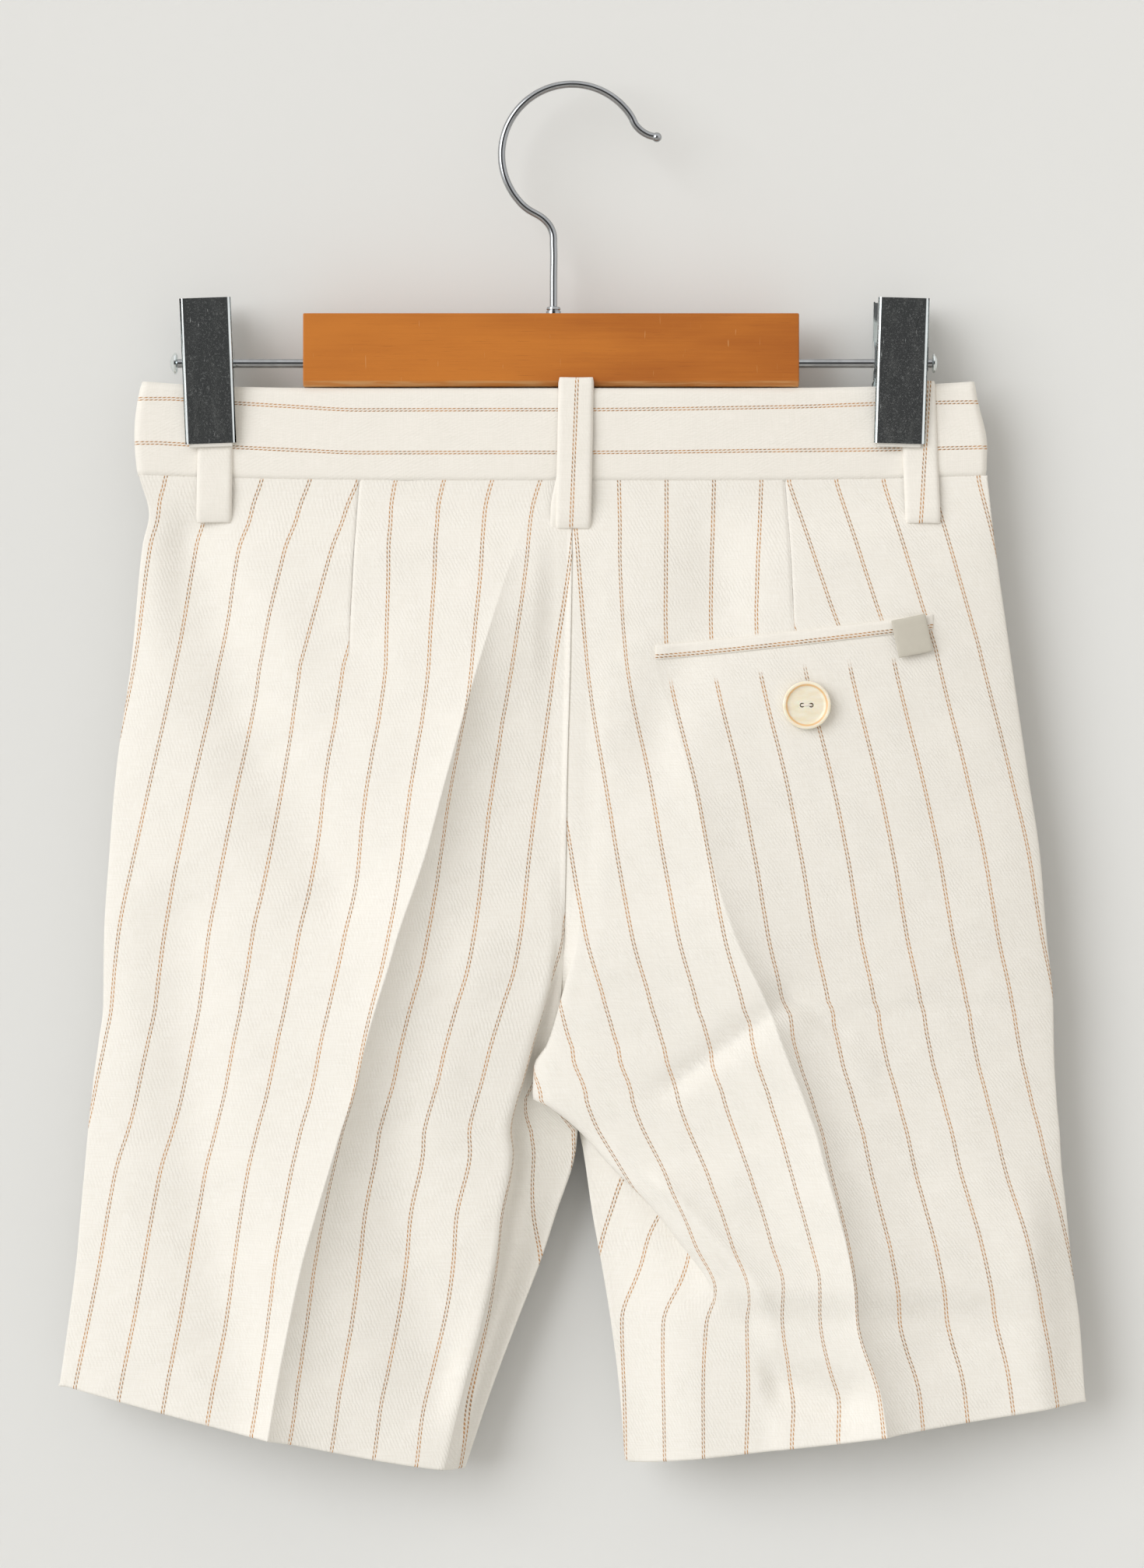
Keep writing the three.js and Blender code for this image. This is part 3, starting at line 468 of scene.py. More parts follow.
class Shader:
    """A node material while it is put together."""

    def __init__(self, name: str, roughness: float, metallic: float = 0.0) -> None:
        """Start a material with one surface shader.

        Args:
            name: The material's name.
            roughness: Roughness of the whole surface.
            metallic: 1 for bare metal.
        """
        self.material = bpy.data.materials.new(name)
        self.material.use_nodes = True
        self.nodes = self.material.node_tree.nodes
        self.links = self.material.node_tree.links
        self.surface = self.nodes["Principled BSDF"]
        self.set(Roughness=roughness, Metallic=metallic)

    def put(self, socket: Socket, value: object) -> None:
        """Link a socket to a value, or set it to a constant."""
        if isinstance(value, Socket):
            self.links.new(value, socket)
        else:
            socket.default_value = value

    def add(self, kind: str, **inputs: object) -> bpy.types.Node:
        """Add a node and fill its inputs.

        Args:
            kind: Blender's name of the node, without its usual start.
            inputs: Sockets or constants by the names of the inputs.

        Returns:
            The new node.
        """
        node = self.nodes.new(f"ShaderNode{kind}")
        for name, value in inputs.items():
            self.put(node.inputs[name], value)
        return node

    def set(self, **inputs: float | Triple) -> None:
        """Set the surface's own inputs, whose names are written with underscores."""
        for name, value in inputs.items():
            self.surface.inputs[name.replace("_", " ")].default_value = value

    def math(self, operation: str, *values: object) -> Socket:
        """Add a Math node.

        Args:
            operation: Blender's name of the operation.
            values: Sockets or constants, in the node's order.

        Returns:
            The result's socket.
        """
        node = self.add("Math")
        node.operation = operation
        for socket, value in zip(node.inputs, values):
            self.put(socket, value)
        return node.outputs[0]

    def times(self, a: object, b: object) -> Socket:
        """Multiply two numbers."""
        return self.math("MULTIPLY", a, b)

    def plus(self, a: object, b: object) -> Socket:
        """Add two numbers."""
        return self.math("ADD", a, b)

    def gap(self, a: object, b: object) -> Socket:
        """Return how far two numbers lie apart."""
        return self.math("ABSOLUTE", self.math("SUBTRACT", a, b))

    def ramp(
        self, value: object, low: float, high: float, out_low: float = 0.0, out_high: float = 1.0
    ) -> Socket:
        """Map a range smoothly to another one, clamped.

        Args:
            value: The input.
            low: Input that gives out_low.
            high: Input that gives out_high.
            out_low: Result at low.
            out_high: Result at high.

        Returns:
            The result's socket.
        """
        ends = {"From Min": low, "From Max": high, "To Min": out_low, "To Max": out_high}
        node = self.add("MapRange", Value=value, **ends)
        node.interpolation_type = "SMOOTHSTEP"
        return node.outputs["Result"]

    def blend(self, factor: object, first: object, second: object) -> Socket:
        """Mix two colours.

        Args:
            factor: 0 for the first, 1 for the second.
            first: Colour or socket.
            second: Colour or socket.

        Returns:
            The mixed colour's socket.
        """
        node = self.add("Mix")
        node.data_type = "RGBA"
        colour_inputs = [s for s in node.inputs if s.type == "RGBA"]
        self.put(node.inputs["Factor"], factor)
        for socket, value in zip(colour_inputs, (first, second)):
            self.put(socket, (*value, 1.0) if isinstance(value, tuple) else value)
        return next(s for s in node.outputs if s.type == "RGBA")

    def noise(self, vector: Socket, scale: float, detail: float = 2.0) -> Socket:
        """Add a noise texture and return its value socket."""
        return self.add("TexNoise", Vector=vector, Scale=scale, Detail=detail).outputs[0]

    def grain(self, vector: Socket, scale: Triple, detail: float, turn: Triple = (0.0, 0.0, 0.0)) -> Socket:
        """Return noise that is stretched and turned along the surface."""
        return self.noise(self.stretched(vector, scale, turn), 1.0, detail)

    def stretched(self, vector: Socket, scale: Triple, turn: Triple = (0.0, 0.0, 0.0)) -> Socket:
        """Scale and turn a pattern's coordinates and return them."""
        return self.add("Mapping", Vector=vector, Scale=scale, Rotation=turn).outputs["Vector"]

    def place(self) -> Socket:
        """Return the object's own coordinates, in metres."""
        return self.add("TexCoord").outputs["Object"]

    def parts_of(self, vector: Socket) -> tuple[Socket, ...]:
        """Split a vector in its three numbers."""
        return tuple(self.add("SeparateXYZ", Vector=vector).outputs)

    def joined(self, x: object, y: object) -> Socket:
        """Join two numbers to a vector."""
        return self.add("CombineXYZ", X=x, Y=y).outputs[0]

    def bump(self, height: Socket, distance: float, strength: float = 1.0) -> None:
        """Raise the surface by a height pattern.

        Args:
            height: The pattern, from 0 to 1.
            distance: Its height in metres.
            strength: Its share.
        """
        node = self.add("Bump", Distance=distance, Strength=strength, Height=height)
        before = self.surface.inputs["Normal"]
        if before.is_linked:
            self.links.new(before.links[0].from_socket, node.inputs["Normal"])
        self.links.new(node.outputs["Normal"], before)

    def paint(self, colour: object) -> None:
        """Give the surface its colour."""
        self.put(self.surface.inputs["Base Color"], (*colour, 1.0) if isinstance(colour, tuple) else colour)


@dataclass(frozen=True)
class StripedCloth:
    """Ivory twill with a double pinstripe, woven in slanted dashes."""

    name: str = "striped_cloth"
    ground: Colour = (0.885, 0.862, 0.812)
    shaded: Colour = (0.845, 0.817, 0.758)
    tan_yarn: Colour = (0.58, 0.28, 0.08)
    grey_yarn: Colour = (0.2, 0.14, 0.09)
    pitch: float = STRIPE_PITCH
    line_offset: float = 0.44
    line_half_width: float = 0.2
    dash: float = 1.5
    dash_slant: float = -1.4
    twill: float = 1.1
    twill_height: float = 0.0001

    def build(self) -> Material:
        """Make the material. It reads the weave coordinates, which count stripe pitches."""
        shader = Shader(self.name, roughness=0.92)
        shader.set(Sheen_Weight=0.12, Sheen_Roughness=0.6, Specular_IOR_Level=0.2)
        uv = shader.add("UVMap")
        uv.uv_map = "weave"
        across, along, _ = shader.parts_of(uv.outputs["UV"])
        across_mm = shader.times(across, self.pitch)
        along_mm = shader.times(along, self.pitch)
        ground = self.ground_colour(shader, across_mm, along_mm)
        shader.paint(self.stripes(shader, across, along_mm, ground))
        self.raise_twill(shader, across_mm, along_mm)
        return shader.material

    def ground_colour(self, shader: Shader, across: object, along: object) -> Socket:
        """Return the ground colour with slubs in both thread directions."""
        weave = shader.joined(across, along)
        warp = shader.grain(weave, (2.6, 0.16, 1.0), 3.0)
        weft = shader.grain(weave, (0.14, 2.4, 1.0), 3.0)
        slub = shader.times(shader.plus(warp, weft), 0.5)
        threads = shader.ramp(slub, 0.36, 0.66)
        return shader.blend(threads, self.shaded, self.ground)

    def stripes(self, shader: Shader, across: object, along: object, ground: object) -> Socket:
        """Lay the double pinstripe over the ground colour."""
        part = shader.math("FRACT", shader.plus(across, 0.5))
        offset = shader.times(shader.math("SUBTRACT", part, 0.5), self.pitch)
        from_middle = shader.math("ABSOLUTE", offset)
        from_line = shader.gap(from_middle, self.line_offset)
        line = shader.ramp(from_line, self.line_half_width * 0.65, self.line_half_width * 1.25, 1.0, 0.0)
        slanted = shader.plus(along, shader.times(offset, self.dash_slant))
        phase = shader.math("FRACT", shader.math("DIVIDE", slanted, self.dash))
        from_dash = shader.gap(phase, 0.42)
        covered = shader.ramp(from_dash, 0.24, 0.36, 1.0, 0.25)
        from_end = shader.gap(phase, 0.56)
        patches = shader.noise(shader.joined(shader.times(across, 3.1), along), 0.06)
        dark_share = shader.ramp(patches, 0.4, 0.6, 0.2, 0.9)
        dark = shader.times(shader.ramp(from_end, 0.12, 0.24, 1.0, 0.15), dark_share)
        yarn = shader.blend(dark, self.tan_yarn, self.grey_yarn)
        plain = shader.add("Attribute")
        plain.attribute_name = "plain"
        shown = shader.math("SUBTRACT", 1.0, plain.outputs["Fac"])
        between = shader.ramp(from_middle, self.line_offset * 0.8, self.line_offset, 0.1, 0.0)
        cover = shader.math("MAXIMUM", shader.times(line, covered), between)
        worn = shader.times(cover, shown)
        return shader.blend(worn, ground, yarn)

    def raise_twill(self, shader: Shader, across: object, along: object) -> None:
        """Raise the twill's diagonal ribs and the threads' slubs."""
        weave = shader.joined(across, along)
        wander = shader.times(shader.noise(weave, 0.5), 1.2)
        diagonal = shader.plus(shader.times(across, 0.87), shader.times(along, -0.5))
        turns = shader.times(shader.plus(diagonal, wander), 2.0 * math.pi / self.twill)
        ribs = shader.times(shader.plus(shader.math("SINE", turns), 1.0), 0.5)
        ribs = shader.times(ribs, shader.ramp(shader.noise(weave, 0.11), 0.35, 0.65, 0.25, 1.0))
        shader.bump(ribs, self.twill_height, 0.8)
        shader.bump(shader.noise(shader.stretched(weave, (1.8, 0.5, 1.0)), 1.4, 4.0), 0.00008, 0.6)


@dataclass(frozen=True)
class LacqueredWood:
    """Warm brown wood under a satin lacquer, with long grain and paler worn edges."""

    name: str = "bar_wood"
    light: Colour = (0.56, 0.185, 0.024)
    dark: Colour = (0.40, 0.115, 0.014)
    pore: Colour = (0.22, 0.06, 0.01)
    worn: Colour = (0.62, 0.33, 0.13)
    bottom_edge_z: float = -0.0988

    def build(self) -> Material:
        """Make the material. The grain runs along X."""
        shader = Shader(self.name, roughness=0.5)
        shader.set(Specular_IOR_Level=0.25)
        place = shader.place()
        x, _, z = shader.parts_of(place)
        figure = shader.grain(place, (16.0, 40.0, 70.0), 3.0)
        streaks = shader.grain(place, (30.0, 300.0, 1500.0), 3.0)
        shade = shader.plus(shader.times(figure, 0.9), shader.times(streaks, 0.22))
        from_left = shader.times(shader.plus(x, 0.007), 2.6)
        shade = shader.plus(shade, from_left)
        colour = shader.blend(shader.ramp(shade, 0.3, 0.9), self.light, self.dark)
        pores = shader.grain(place, (90.0, 900.0, 4200.0), 2.0)
        colour = shader.blend(shader.ramp(pores, 0.64, 0.74, 0.0, 0.45), colour, self.pore)
        rubbed = shader.grain(place, (60.0, 60.0, 900.0), 3.0)
        low = shader.ramp(z, self.bottom_edge_z + 0.0006, self.bottom_edge_z - 0.0002, 0.0, 1.0)
        edge = shader.times(low, shader.ramp(rubbed, 0.4, 0.62, 0.25, 0.9))
        colour = shader.blend(edge, colour, self.worn)
        scratch = shader.grain(place, (1700.0, 1.0, 130.0), 1.0, (0.0, -0.75, 0.0))
        colour = shader.blend(shader.ramp(scratch, 0.73, 0.78, 0.0, 0.5), colour, self.worn)
        shader.paint(colour)
        shader.bump(shader.plus(streaks, pores), 0.00004, 0.6)
        return shader.material


@dataclass(frozen=True)
class PolishedSteel:
    """Bright plated steel with fine scratches."""

    name: str
    tint: Colour
    roughness: float
    scratches: float

    def build(self) -> Material:
        """Make the material."""
        shader = Shader(self.name, roughness=self.roughness, metallic=1.0)
        place = shader.place()
        wear = shader.grain(place, (260.0, 260.0, 90.0), 4.0, (0.0, 0.6, 0.0))
        fine = shader.grain(place, (1900.0, 1.0, 210.0), 2.0, (0.0, -0.5, 0.0))
        crossed = shader.grain(place, (2100.0, 1.0, 260.0), 1.0, (0.0, 0.7, 0.0))
        fine = shader.math("MAXIMUM", fine, crossed)
        mark = shader.times(shader.ramp(fine, 0.72, 0.79), self.scratches)
        speck = shader.grain(place, (1700.0, 1700.0, 1700.0), 3.0)
        specks = shader.times(shader.ramp(speck, 0.5, 0.75), 0.25 * self.scratches)
        mark = shader.math("MAXIMUM", mark, specks)
        darker = tuple(0.85 * c for c in self.tint)
        shader.paint(shader.blend(shader.ramp(wear, 0.3, 0.7), self.tint, darker))
        shader.put(shader.surface.inputs["Metallic"], shader.math("SUBTRACT", 1.0, mark))
        roughened = shader.ramp(wear, 0.35, 0.75, self.roughness * 0.8, self.roughness * 1.6)
        shader.put(shader.surface.inputs["Roughness"], roughened)
        shader.bump(fine, 0.00001, 0.4)
        return shader.material


@dataclass(frozen=True)
class SoftRubber:
    """Pale rubber of the clip pads."""

    name: str = "clip_pad"
    colour: Colour = (0.77, 0.75, 0.7)

    def build(self) -> Material:
        """Make the material."""
        shader = Shader(self.name, roughness=0.75)
        mottle = shader.noise(shader.place(), 900.0, 3.0)
        shader.paint(shader.blend(mottle, self.colour, tuple(0.88 * c for c in self.colour)))
        shader.bump(mottle, 0.00004, 0.5)
        return shader.material


@dataclass(frozen=True)
class WovenTab:
    """Close grey-beige woven cloth of the bare tab."""

    name: str = "tab_cloth"
    light: Colour = (0.62, 0.59, 0.51)
    dark: Colour = (0.54, 0.51, 0.44)
    thread: float = 2600.0

    def build(self) -> Material:
        """Make the material, with warp and weft from two sets of waves."""
        shader = Shader(self.name, roughness=0.7)
        x, _, z = shader.parts_of(shader.stretched(shader.place(), (1.0, 1.0, 1.0), (0.0, 0.2, 0.0)))
        warp = shader.math("SINE", shader.times(x, self.thread * 6.28))
        weft = shader.math("SINE", shader.times(z, self.thread * 6.28))
        weave = shader.ramp(shader.times(warp, weft), -1.0, 1.0)
        mottle = shader.noise(shader.place(), 500.0, 3.0)
        shade = shader.plus(shader.times(weave, 0.35), shader.times(mottle, 0.6))
        shader.paint(shader.blend(shade, self.dark, self.light))
        shader.bump(weave, 0.00004, 0.6)
        return shader.material


@dataclass(frozen=True)
class HornResin:
    """Cream resin of the buttons: translucent, with an amber ring near the rim."""

    name: str
    centre_x: float
    centre_z: float
    radius: float
    cream: Colour = (0.87, 0.78, 0.6)
    amber: Colour = (0.8, 0.47, 0.17)
    pearl: Colour = (0.92, 0.87, 0.74)

    def build(self) -> Material:
        """Make the material, with rings about the button's own centre."""
        shader = Shader(self.name, roughness=0.28)
        shader.set(Subsurface_Weight=0.3, Subsurface_Radius=(0.002, 0.0012, 0.0006), Subsurface_Scale=1.0)
        x, _, z = shader.parts_of(shader.place())
        dx = shader.math("SUBTRACT", x, self.centre_x * MM)
        dz = shader.math("SUBTRACT", z, self.centre_z * MM)
        distance = shader.math("SQRT", shader.plus(shader.times(dx, dx), shader.times(dz, dz)))
        share = shader.math("DIVIDE", distance, self.radius * MM)
        streak = shader.grain(shader.place(), (160.0, 160.0, 500.0), 3.0, (0.0, 0.9, 0.0))
        face = shader.blend(shader.ramp(streak, 0.3, 0.7), self.pearl, self.cream)
        from_ring = shader.gap(share, 0.84)
        ring = shader.ramp(from_ring, 0.015, 0.06, 0.8, 0.0)
        shader.paint(shader.blend(ring, face, self.amber))
        return shader.material


@dataclass
class Finishes:
    """All the finishes, made once and shared by the pieces."""

    cloth: Material = field(init=False)
    band: Material = field(init=False)
    tab: Material = field(init=False)
    wood: Material = field(init=False)
    plate: Material = field(init=False)
    wire: Material = field(init=False)
    pad: Material = field(init=False)

    def __post_init__(self) -> None:
        """Make the materials."""
        self.cloth = StripedCloth().build()
        self.band = StripedCloth(name="band_cloth", twill_height=0.00004, ground=(0.885, 0.855, 0.8)).build()
        self.tab = WovenTab().build()
        self.wood = LacqueredWood().build()
        self.plate = PolishedSteel("clip_plate_steel", (0.82, 0.86, 0.86), 0.11, 0.4).build()
        self.wire = PolishedSteel("hanger_wire_steel", (0.42, 0.43, 0.44), 0.12, 0.1).build()
        self.pad = SoftRubber().build()


def dress(obj: Piece, material: Material, slot: str, *nodes: str) -> Piece:
    """Give a piece its finish, and let it ride and stand for its solids.

    Args:
        obj: The finished piece.
        material: Its finish.
        slot: The name of a material slot; not used.
        nodes: The solids that it stands for.

    Returns:
        The piece.
    """
    obj.data.materials.clear()
    obj.data.materials.append(material)
    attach(obj, BODY)
    if nodes:
        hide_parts(*nodes)
    return obj


# Panels

SEAT: Table = [
    (-131, 0), (-153, 0), (-190, -0.5), (-231, -1.6), (-257, -2), (-283, -2.6), (-307, -3.9),
    (-320, -6), (-327, -8), (-338, -9), (-341, -7), (-349, 2.05),
]
INSEAM: Table = [
    (-349, -1.9, 2.2), (-356, -1.3, 3.7), (-377, 5.2, 6.8), (-393, 10.4, 9.7), (-413, 18.2, 13),
    (-437, 27.3, 16), (-462, 35.7, 17.9),
]
SEAT_X = Track(SEAT, 1)
INSEAM_M = {Side.LEFT: Track(INSEAM, 1), Side.RIGHT: Track(INSEAM, 2)}

# Columns: z, depth of the inner edge, where the cloth turns away, how far it hangs over what is
# behind, depth behind and in front of that turn, pressed crease, side seam
STATION_NAMES = ("seam_y", "fold", "over", "low", "high", "crease", "side")
BACK_STATIONS: dict[Side, Table] = {
    Side.LEFT: [
        (-131, -6.2, 4, 0, -6.2, -6.3, 8, 144.8),
        (-143, -8, 4, 0, -8, -8, 14.3, 141.6),
        (-153, -9.5, 4, 0, -9, -9.2, 18.2, 143.8),
        (-190, -13, 5, 0, -12, -12, 30, 147.4),
        (-231, -14.5, 6, 0, -13.5, -13.3, 41.6, 152.9),
        (-257, -14.5, 6.5, 0, -14, -14, 48.6, 155),
        (-283, -13, 6, 0, -14, -15, 57.5, 156.7),
        (-295, -11, 6.6, 0.5, -11.5, -15, 61, 156.9),
        (-307, -10, 9.2, 1, -9.5, -14.5, 64.8, 157),
        (-320, -7, 12.9, 1.5, -6, -13.5, 68.4, 158.6),
        (-333, -3.5, 16.4, 1.5, -4, -12, 71.5, 160.4),
        (-338, -3, 18, 1.5, -3.2, -11.7, 73, 160.9),
        (-349, 0.5, 20.3, 1.5, -1.5, -11, 76.8, 162.1),
        (-356, 1.5, 19.5, 1.2, -1, -10.5, 78.9, 162.7),
        (-377, 3, 22.6, 0.5, -1.5, -9.5, 85.2, 164.6),
        (-393, 4, 25, 0, -2, -9, 89.7, 166),
        (-413, 3, 29.5, 0, -4, -8.5, 94.1, 168.6),
        (-437, 1.5, 36, 0, -5, -8, 98.8, 172),
        (-462, 0.5, 42, 0, -5, -8, 102.8, 175.5),
    ],
    Side.RIGHT: [
        (-131, -6, 4, 0, -6.1, -6.3, 16, 139.1),
        (-153, -9.1, 4, 0, -9.2, -9.2, 16.5, 141.7),
        (-190, -12.5, 4, 0, -12.4, -12.4, 26.5, 146.9),
        (-231, -14, 3.5, 0, -14, -14, 39.5, 152.9),
        (-257, -14, 3, 0, -14.2, -14.5, 45.5, 156.8),
        (-283, -12.6, 1.5, 0, -13.4, -15, 53.8, 158.9),
        (-307, -8.5, -4.2, 1, -8, -13.5, 65, 161.2),
        (-320, -4, -8.3, 2, -3.5, -12.5, 69.8, 161.4),
        (-327, -1, -12.7, 3, 0, -12.5, 72.5, 161.6),
        (-338, 1.5, -13.1, 3, 1.5, -12.5, 77, 162.3),
        (-341, 2.5, -7.5, 3, 2, -12.5, 78, 162.5),
        (-349, 4.5, 2.5, 3.5, 2.5, -12.5, 80.9, 163.3),
        (-361, 3.5, 13.3, 4, -0.5, -13.5, 84, 164),
        (-373, 2.5, 25.5, 4, -2.5, -15, 87.4, 165.3),
        (-387, 1.5, 37.2, 3.5, -4.5, -15.5, 91, 166.7),
        (-400, 0.5, 48.1, 2, -7, -15, 93.5, 168.2),
        (-413, -0.5, 54, 0.5, -8.5, -10.5, 94.9, 170),
        (-437, -1.5, 57, 0, -8.5, -9, 102.7, 171.8),
        (-462, -2, 60, 0, -8, -8.5, 106, 174.5),
    ],
}
FRONT_STATIONS: Table = [
    (-131, 0, 6.2, 6.3), (-153, 0, 9, 9), (-190, 0, 12, 12), (-231, 0, 12.5, 13), (-283, 0, 12, 14),
    (-307, 0.3, 11.5, 14), (-333, 1.2, 9, 13.5), (-349, 2.05, 7.2, 13), (-393, 2.05, 7.2, 12),
    (-462, 2.05, 7.2, 9.5),
]
RIDGES: Table = [
    (-131, 0, 0, 0), (-153, 1.5, 0, 0), (-180, 6, 0.6, 1), (-205, 9.2, 1.8, 2), (-250, 10, 4.2, 3.5),
    (-290, 10, 6.5, 4.5), (-330, 10, 8, 5.5), (-400, 9.5, 8.5, 6), (-462, 8.5, 8, 6),
]
RIDGE_COLUMN = {Side.LEFT: 1, Side.RIGHT: 2}
SHARP_FROM = {Side.LEFT: -165.0, Side.RIGHT: -255.0}
TURN_WIDTHS: dict[Side, Table] = {
    Side.LEFT: [(-131, 1.5), (-462, 1.5)],
    Side.RIGHT: [(-131, 1.5), (-361, 1.5), (-373, 2.0), (-387, 4.5), (-400, 8.0), (-413, 10.0), (-462, 10.0)],
}
FRONT_RIDGE = Track(RIDGES, 3)

# Stripe count from the centre at each line down the panel: z, seam, turn, crease, side
LEFT_STRIPES: dict[str, Table] = {
    "seam": [
        (-131, 0.17), (-153, 0), (-192, -0.3), (-231, -0.58), (-257, -0.77), (-283, -1.05), (-307, -1.5),
        (-320, -2), (-333, -2.4), (-349, -3.1), (-356, -3.05), (-361, -3), (-377, -2.5), (-393, -2),
        (-413, -1.65), (-437, -1.35), (-462, -1.1),
    ],
    "turn": [
        (-131, 0.43), (-153, 0.26), (-192, -0.04), (-231, -0.32), (-257, -0.51), (-283, -0.72), (-307, -0.93),
        (-325, -1), (-356, -1), (-377, -1.1), (-393, -1), (-413, -0.9), (-437, -0.9), (-462, -0.72),
    ],
    "crease": [
        (-131, 0.8), (-143, 1.05), (-164, 1.45), (-179, 1.63), (-205, 2), (-231, 2.2), (-257, 2.45),
        (-285, 2.81), (-309, 2.9), (-335, 3), (-361, 3.13), (-408, 3.46), (-451, 3.61),
    ],
    "side": [
        (-131, 10.58), (-141, 10.2), (-152, 10.18), (-192, 10.1), (-221, 9.95), (-283, 9.35), (-346, 9),
        (-361, 8.75), (-434, 8.35),
    ],
}
RIGHT_STRIPES: dict[str, Table] = {
    "seam": [
        (-131, 0.03), (-148, -0.08), (-192, -0.33), (-231, -0.75), (-247, -1), (-283, -1.43), (-306, -1.95),
        (-320, -2.9), (-327, -3.3), (-338, -3.8), (-349, -4.6), (-361, -4.6), (-390, -4), (-413, -3.25),
        (-458, -3.02),
    ],
    "tuck": [
        (-349, -4.3), (-360, -4), (-373, -3), (-387, -2.05), (-400, -1.5), (-413, -1), (-437, -0.76),
        (-462, -0.54),
    ],
    "turn": [
        (-131, 0.29), (-148, 0.18), (-192, -0.07), (-231, -0.49), (-283, -1.2), (-306, -2), (-317, -2.41),
        (-327, -2.95), (-338, -3.25), (-341, -2.97), (-349, -2.55), (-361, -2.3), (-373, -1.86),
        (-387, -1.36), (-400, -0.95), (-413, -0.34), (-437, -0.12), (-458, 0.1),
    ],
    "crease": [
        (-131, 1.02), (-153, 1.02), (-192, 1.7), (-218, 1.9), (-257, 2), (-286, 2.26), (-309, 2.57),
        (-335, 2.75), (-361, 2.85), (-413, 3), (-450, 3.08),
    ],
    "side": [
        (-131, 10.2), (-153, 10), (-192, 9.7), (-231, 9.42), (-283, 9.13), (-301, 9), (-395, 8), (-439, 7.7),
    ],
}
STRIPES = {Side.LEFT: LEFT_STRIPES, Side.RIGHT: RIGHT_STRIPES}


@dataclass(frozen=True)
class Dart:
    """A dart from the waist down: its place, its length and the cloth that it takes in."""

    top_m: float
    foot_m: float
    foot_z: float
    intake: float


DARTS = {Side.LEFT: Dart(71.0, 74.1, -194.0, 1.2), Side.RIGHT: Dart(71.0, 73.9, -188.0, 1.4)}

MAIN_FOLDS = {
    Side.LEFT: [
        Fold(-130, -146, -111, -203, 14, 4.6),
        Fold(-102, -226, -78, -266, 14, 4.6),
        Fold(-130, -282, -127, -350, 13, 3.6),
        Fold(-62, -352, -46, -430, 15, 3.4),
    ],
    Side.RIGHT: [
        Fold(30, -335, 70, -306, 5, 1.6),
        Fold(46, -427, 90, -439, 9, 5.0),
        Fold(64, -376, 92, -404, 10, 1.8),
        Fold(30, -372, 57, -406, 8, -3.6),
    ],
}
SMALL_FOLDS = {
    Side.LEFT: [
        Fold(-20, -160, -34, -205, 7, 0.9),
        Fold(-118, -150, -92, -190, 8, -0.8),
        Fold(-142, -150, -146, -230, 6, -0.7),
        Fold(-56, -190, -70, -240, 10, -0.8),
        Fold(-123, -374, -108, -436, 13, 3.4),
        Fold(-30, -290, -48, -350, 9, -0.8),
        Fold(-84, -178, -60, -208, 8, 0.6),
    ],
    Side.RIGHT: [
        Fold(29, -336, 70, -306, 1.5, 1.6, FoldShape.PRESSED),
        Fold(69, -303, 94, -318, 1.8, 1.5, FoldShape.PRESSED),
        Fold(72, -311, 98, -326, 4.0, -1.0),
        Fold(84, -309, 159, -307, 2.2, 0.55, FoldShape.PRESSED),
        Fold(46, -142, 50, -172, 12, 3.2),
        Fold(34, -196, 28, -222, 10, 2.4),
        Fold(156, -385, 160, -455, 14, -3.0),
        Fold(118, -220, 128, -262, 12, 0.7),
        Fold(112, -355, 122, -420, 12, 0.8),
    ],
}


@dataclass
class PocketPlace:
    """Where the pocket's welt lies on the right back."""

    left: float = 28.1
    right: float = 120.3
    left_top: float = -187.0
    right_top: float = -176.8
    bend: float = 1.15
    height: float = 4.6
    plain_height: float = 9.2

    def top_z(self, u: Array) -> Array:
        """Return the height of the welt's top edge."""
        return mix(self.left_top, self.right_top, u**self.bend)

    def under_welt(self, x: Array, z: Array) -> Array:
        """Return 1 where the cloth just under the welt shows no stripe, and 0 elsewhere."""
        u = np.clip((x - self.left) / (self.right - self.left), 0.0, 1.0)
        below = self.top_z(u) - self.height - z
        inside = (x > self.left - 0.5) & (x < self.right - 11.0)
        return np.where(inside, smooth((self.plain_height - below) / 1.2) * (below > -self.height), 0.0)


def panel_rows() -> Array:
    """Return the heights of a panel's rows, close together at the waist and the hem."""
    top = [-132.0, -132.4, -133.0, -134.0]
    body = np.arange(-136.0, -458.0, -2.2).tolist()
    return np.array([*top, *body, -459.5, -460.6, -461.3, -461.8])


def graded(count: int, power: float, towards_end: bool) -> Array:
    """Return fractions up to 1, closer together at one end, without the 0.

    Args:
        count: How many.
        power: How uneven they are.
        towards_end: Whether they are close together at 1.

    Returns:
        The fractions.
    """
    t = np.arange(1, count + 1) / count
    return 1.0 - (1.0 - t) ** power if towards_end else t**power


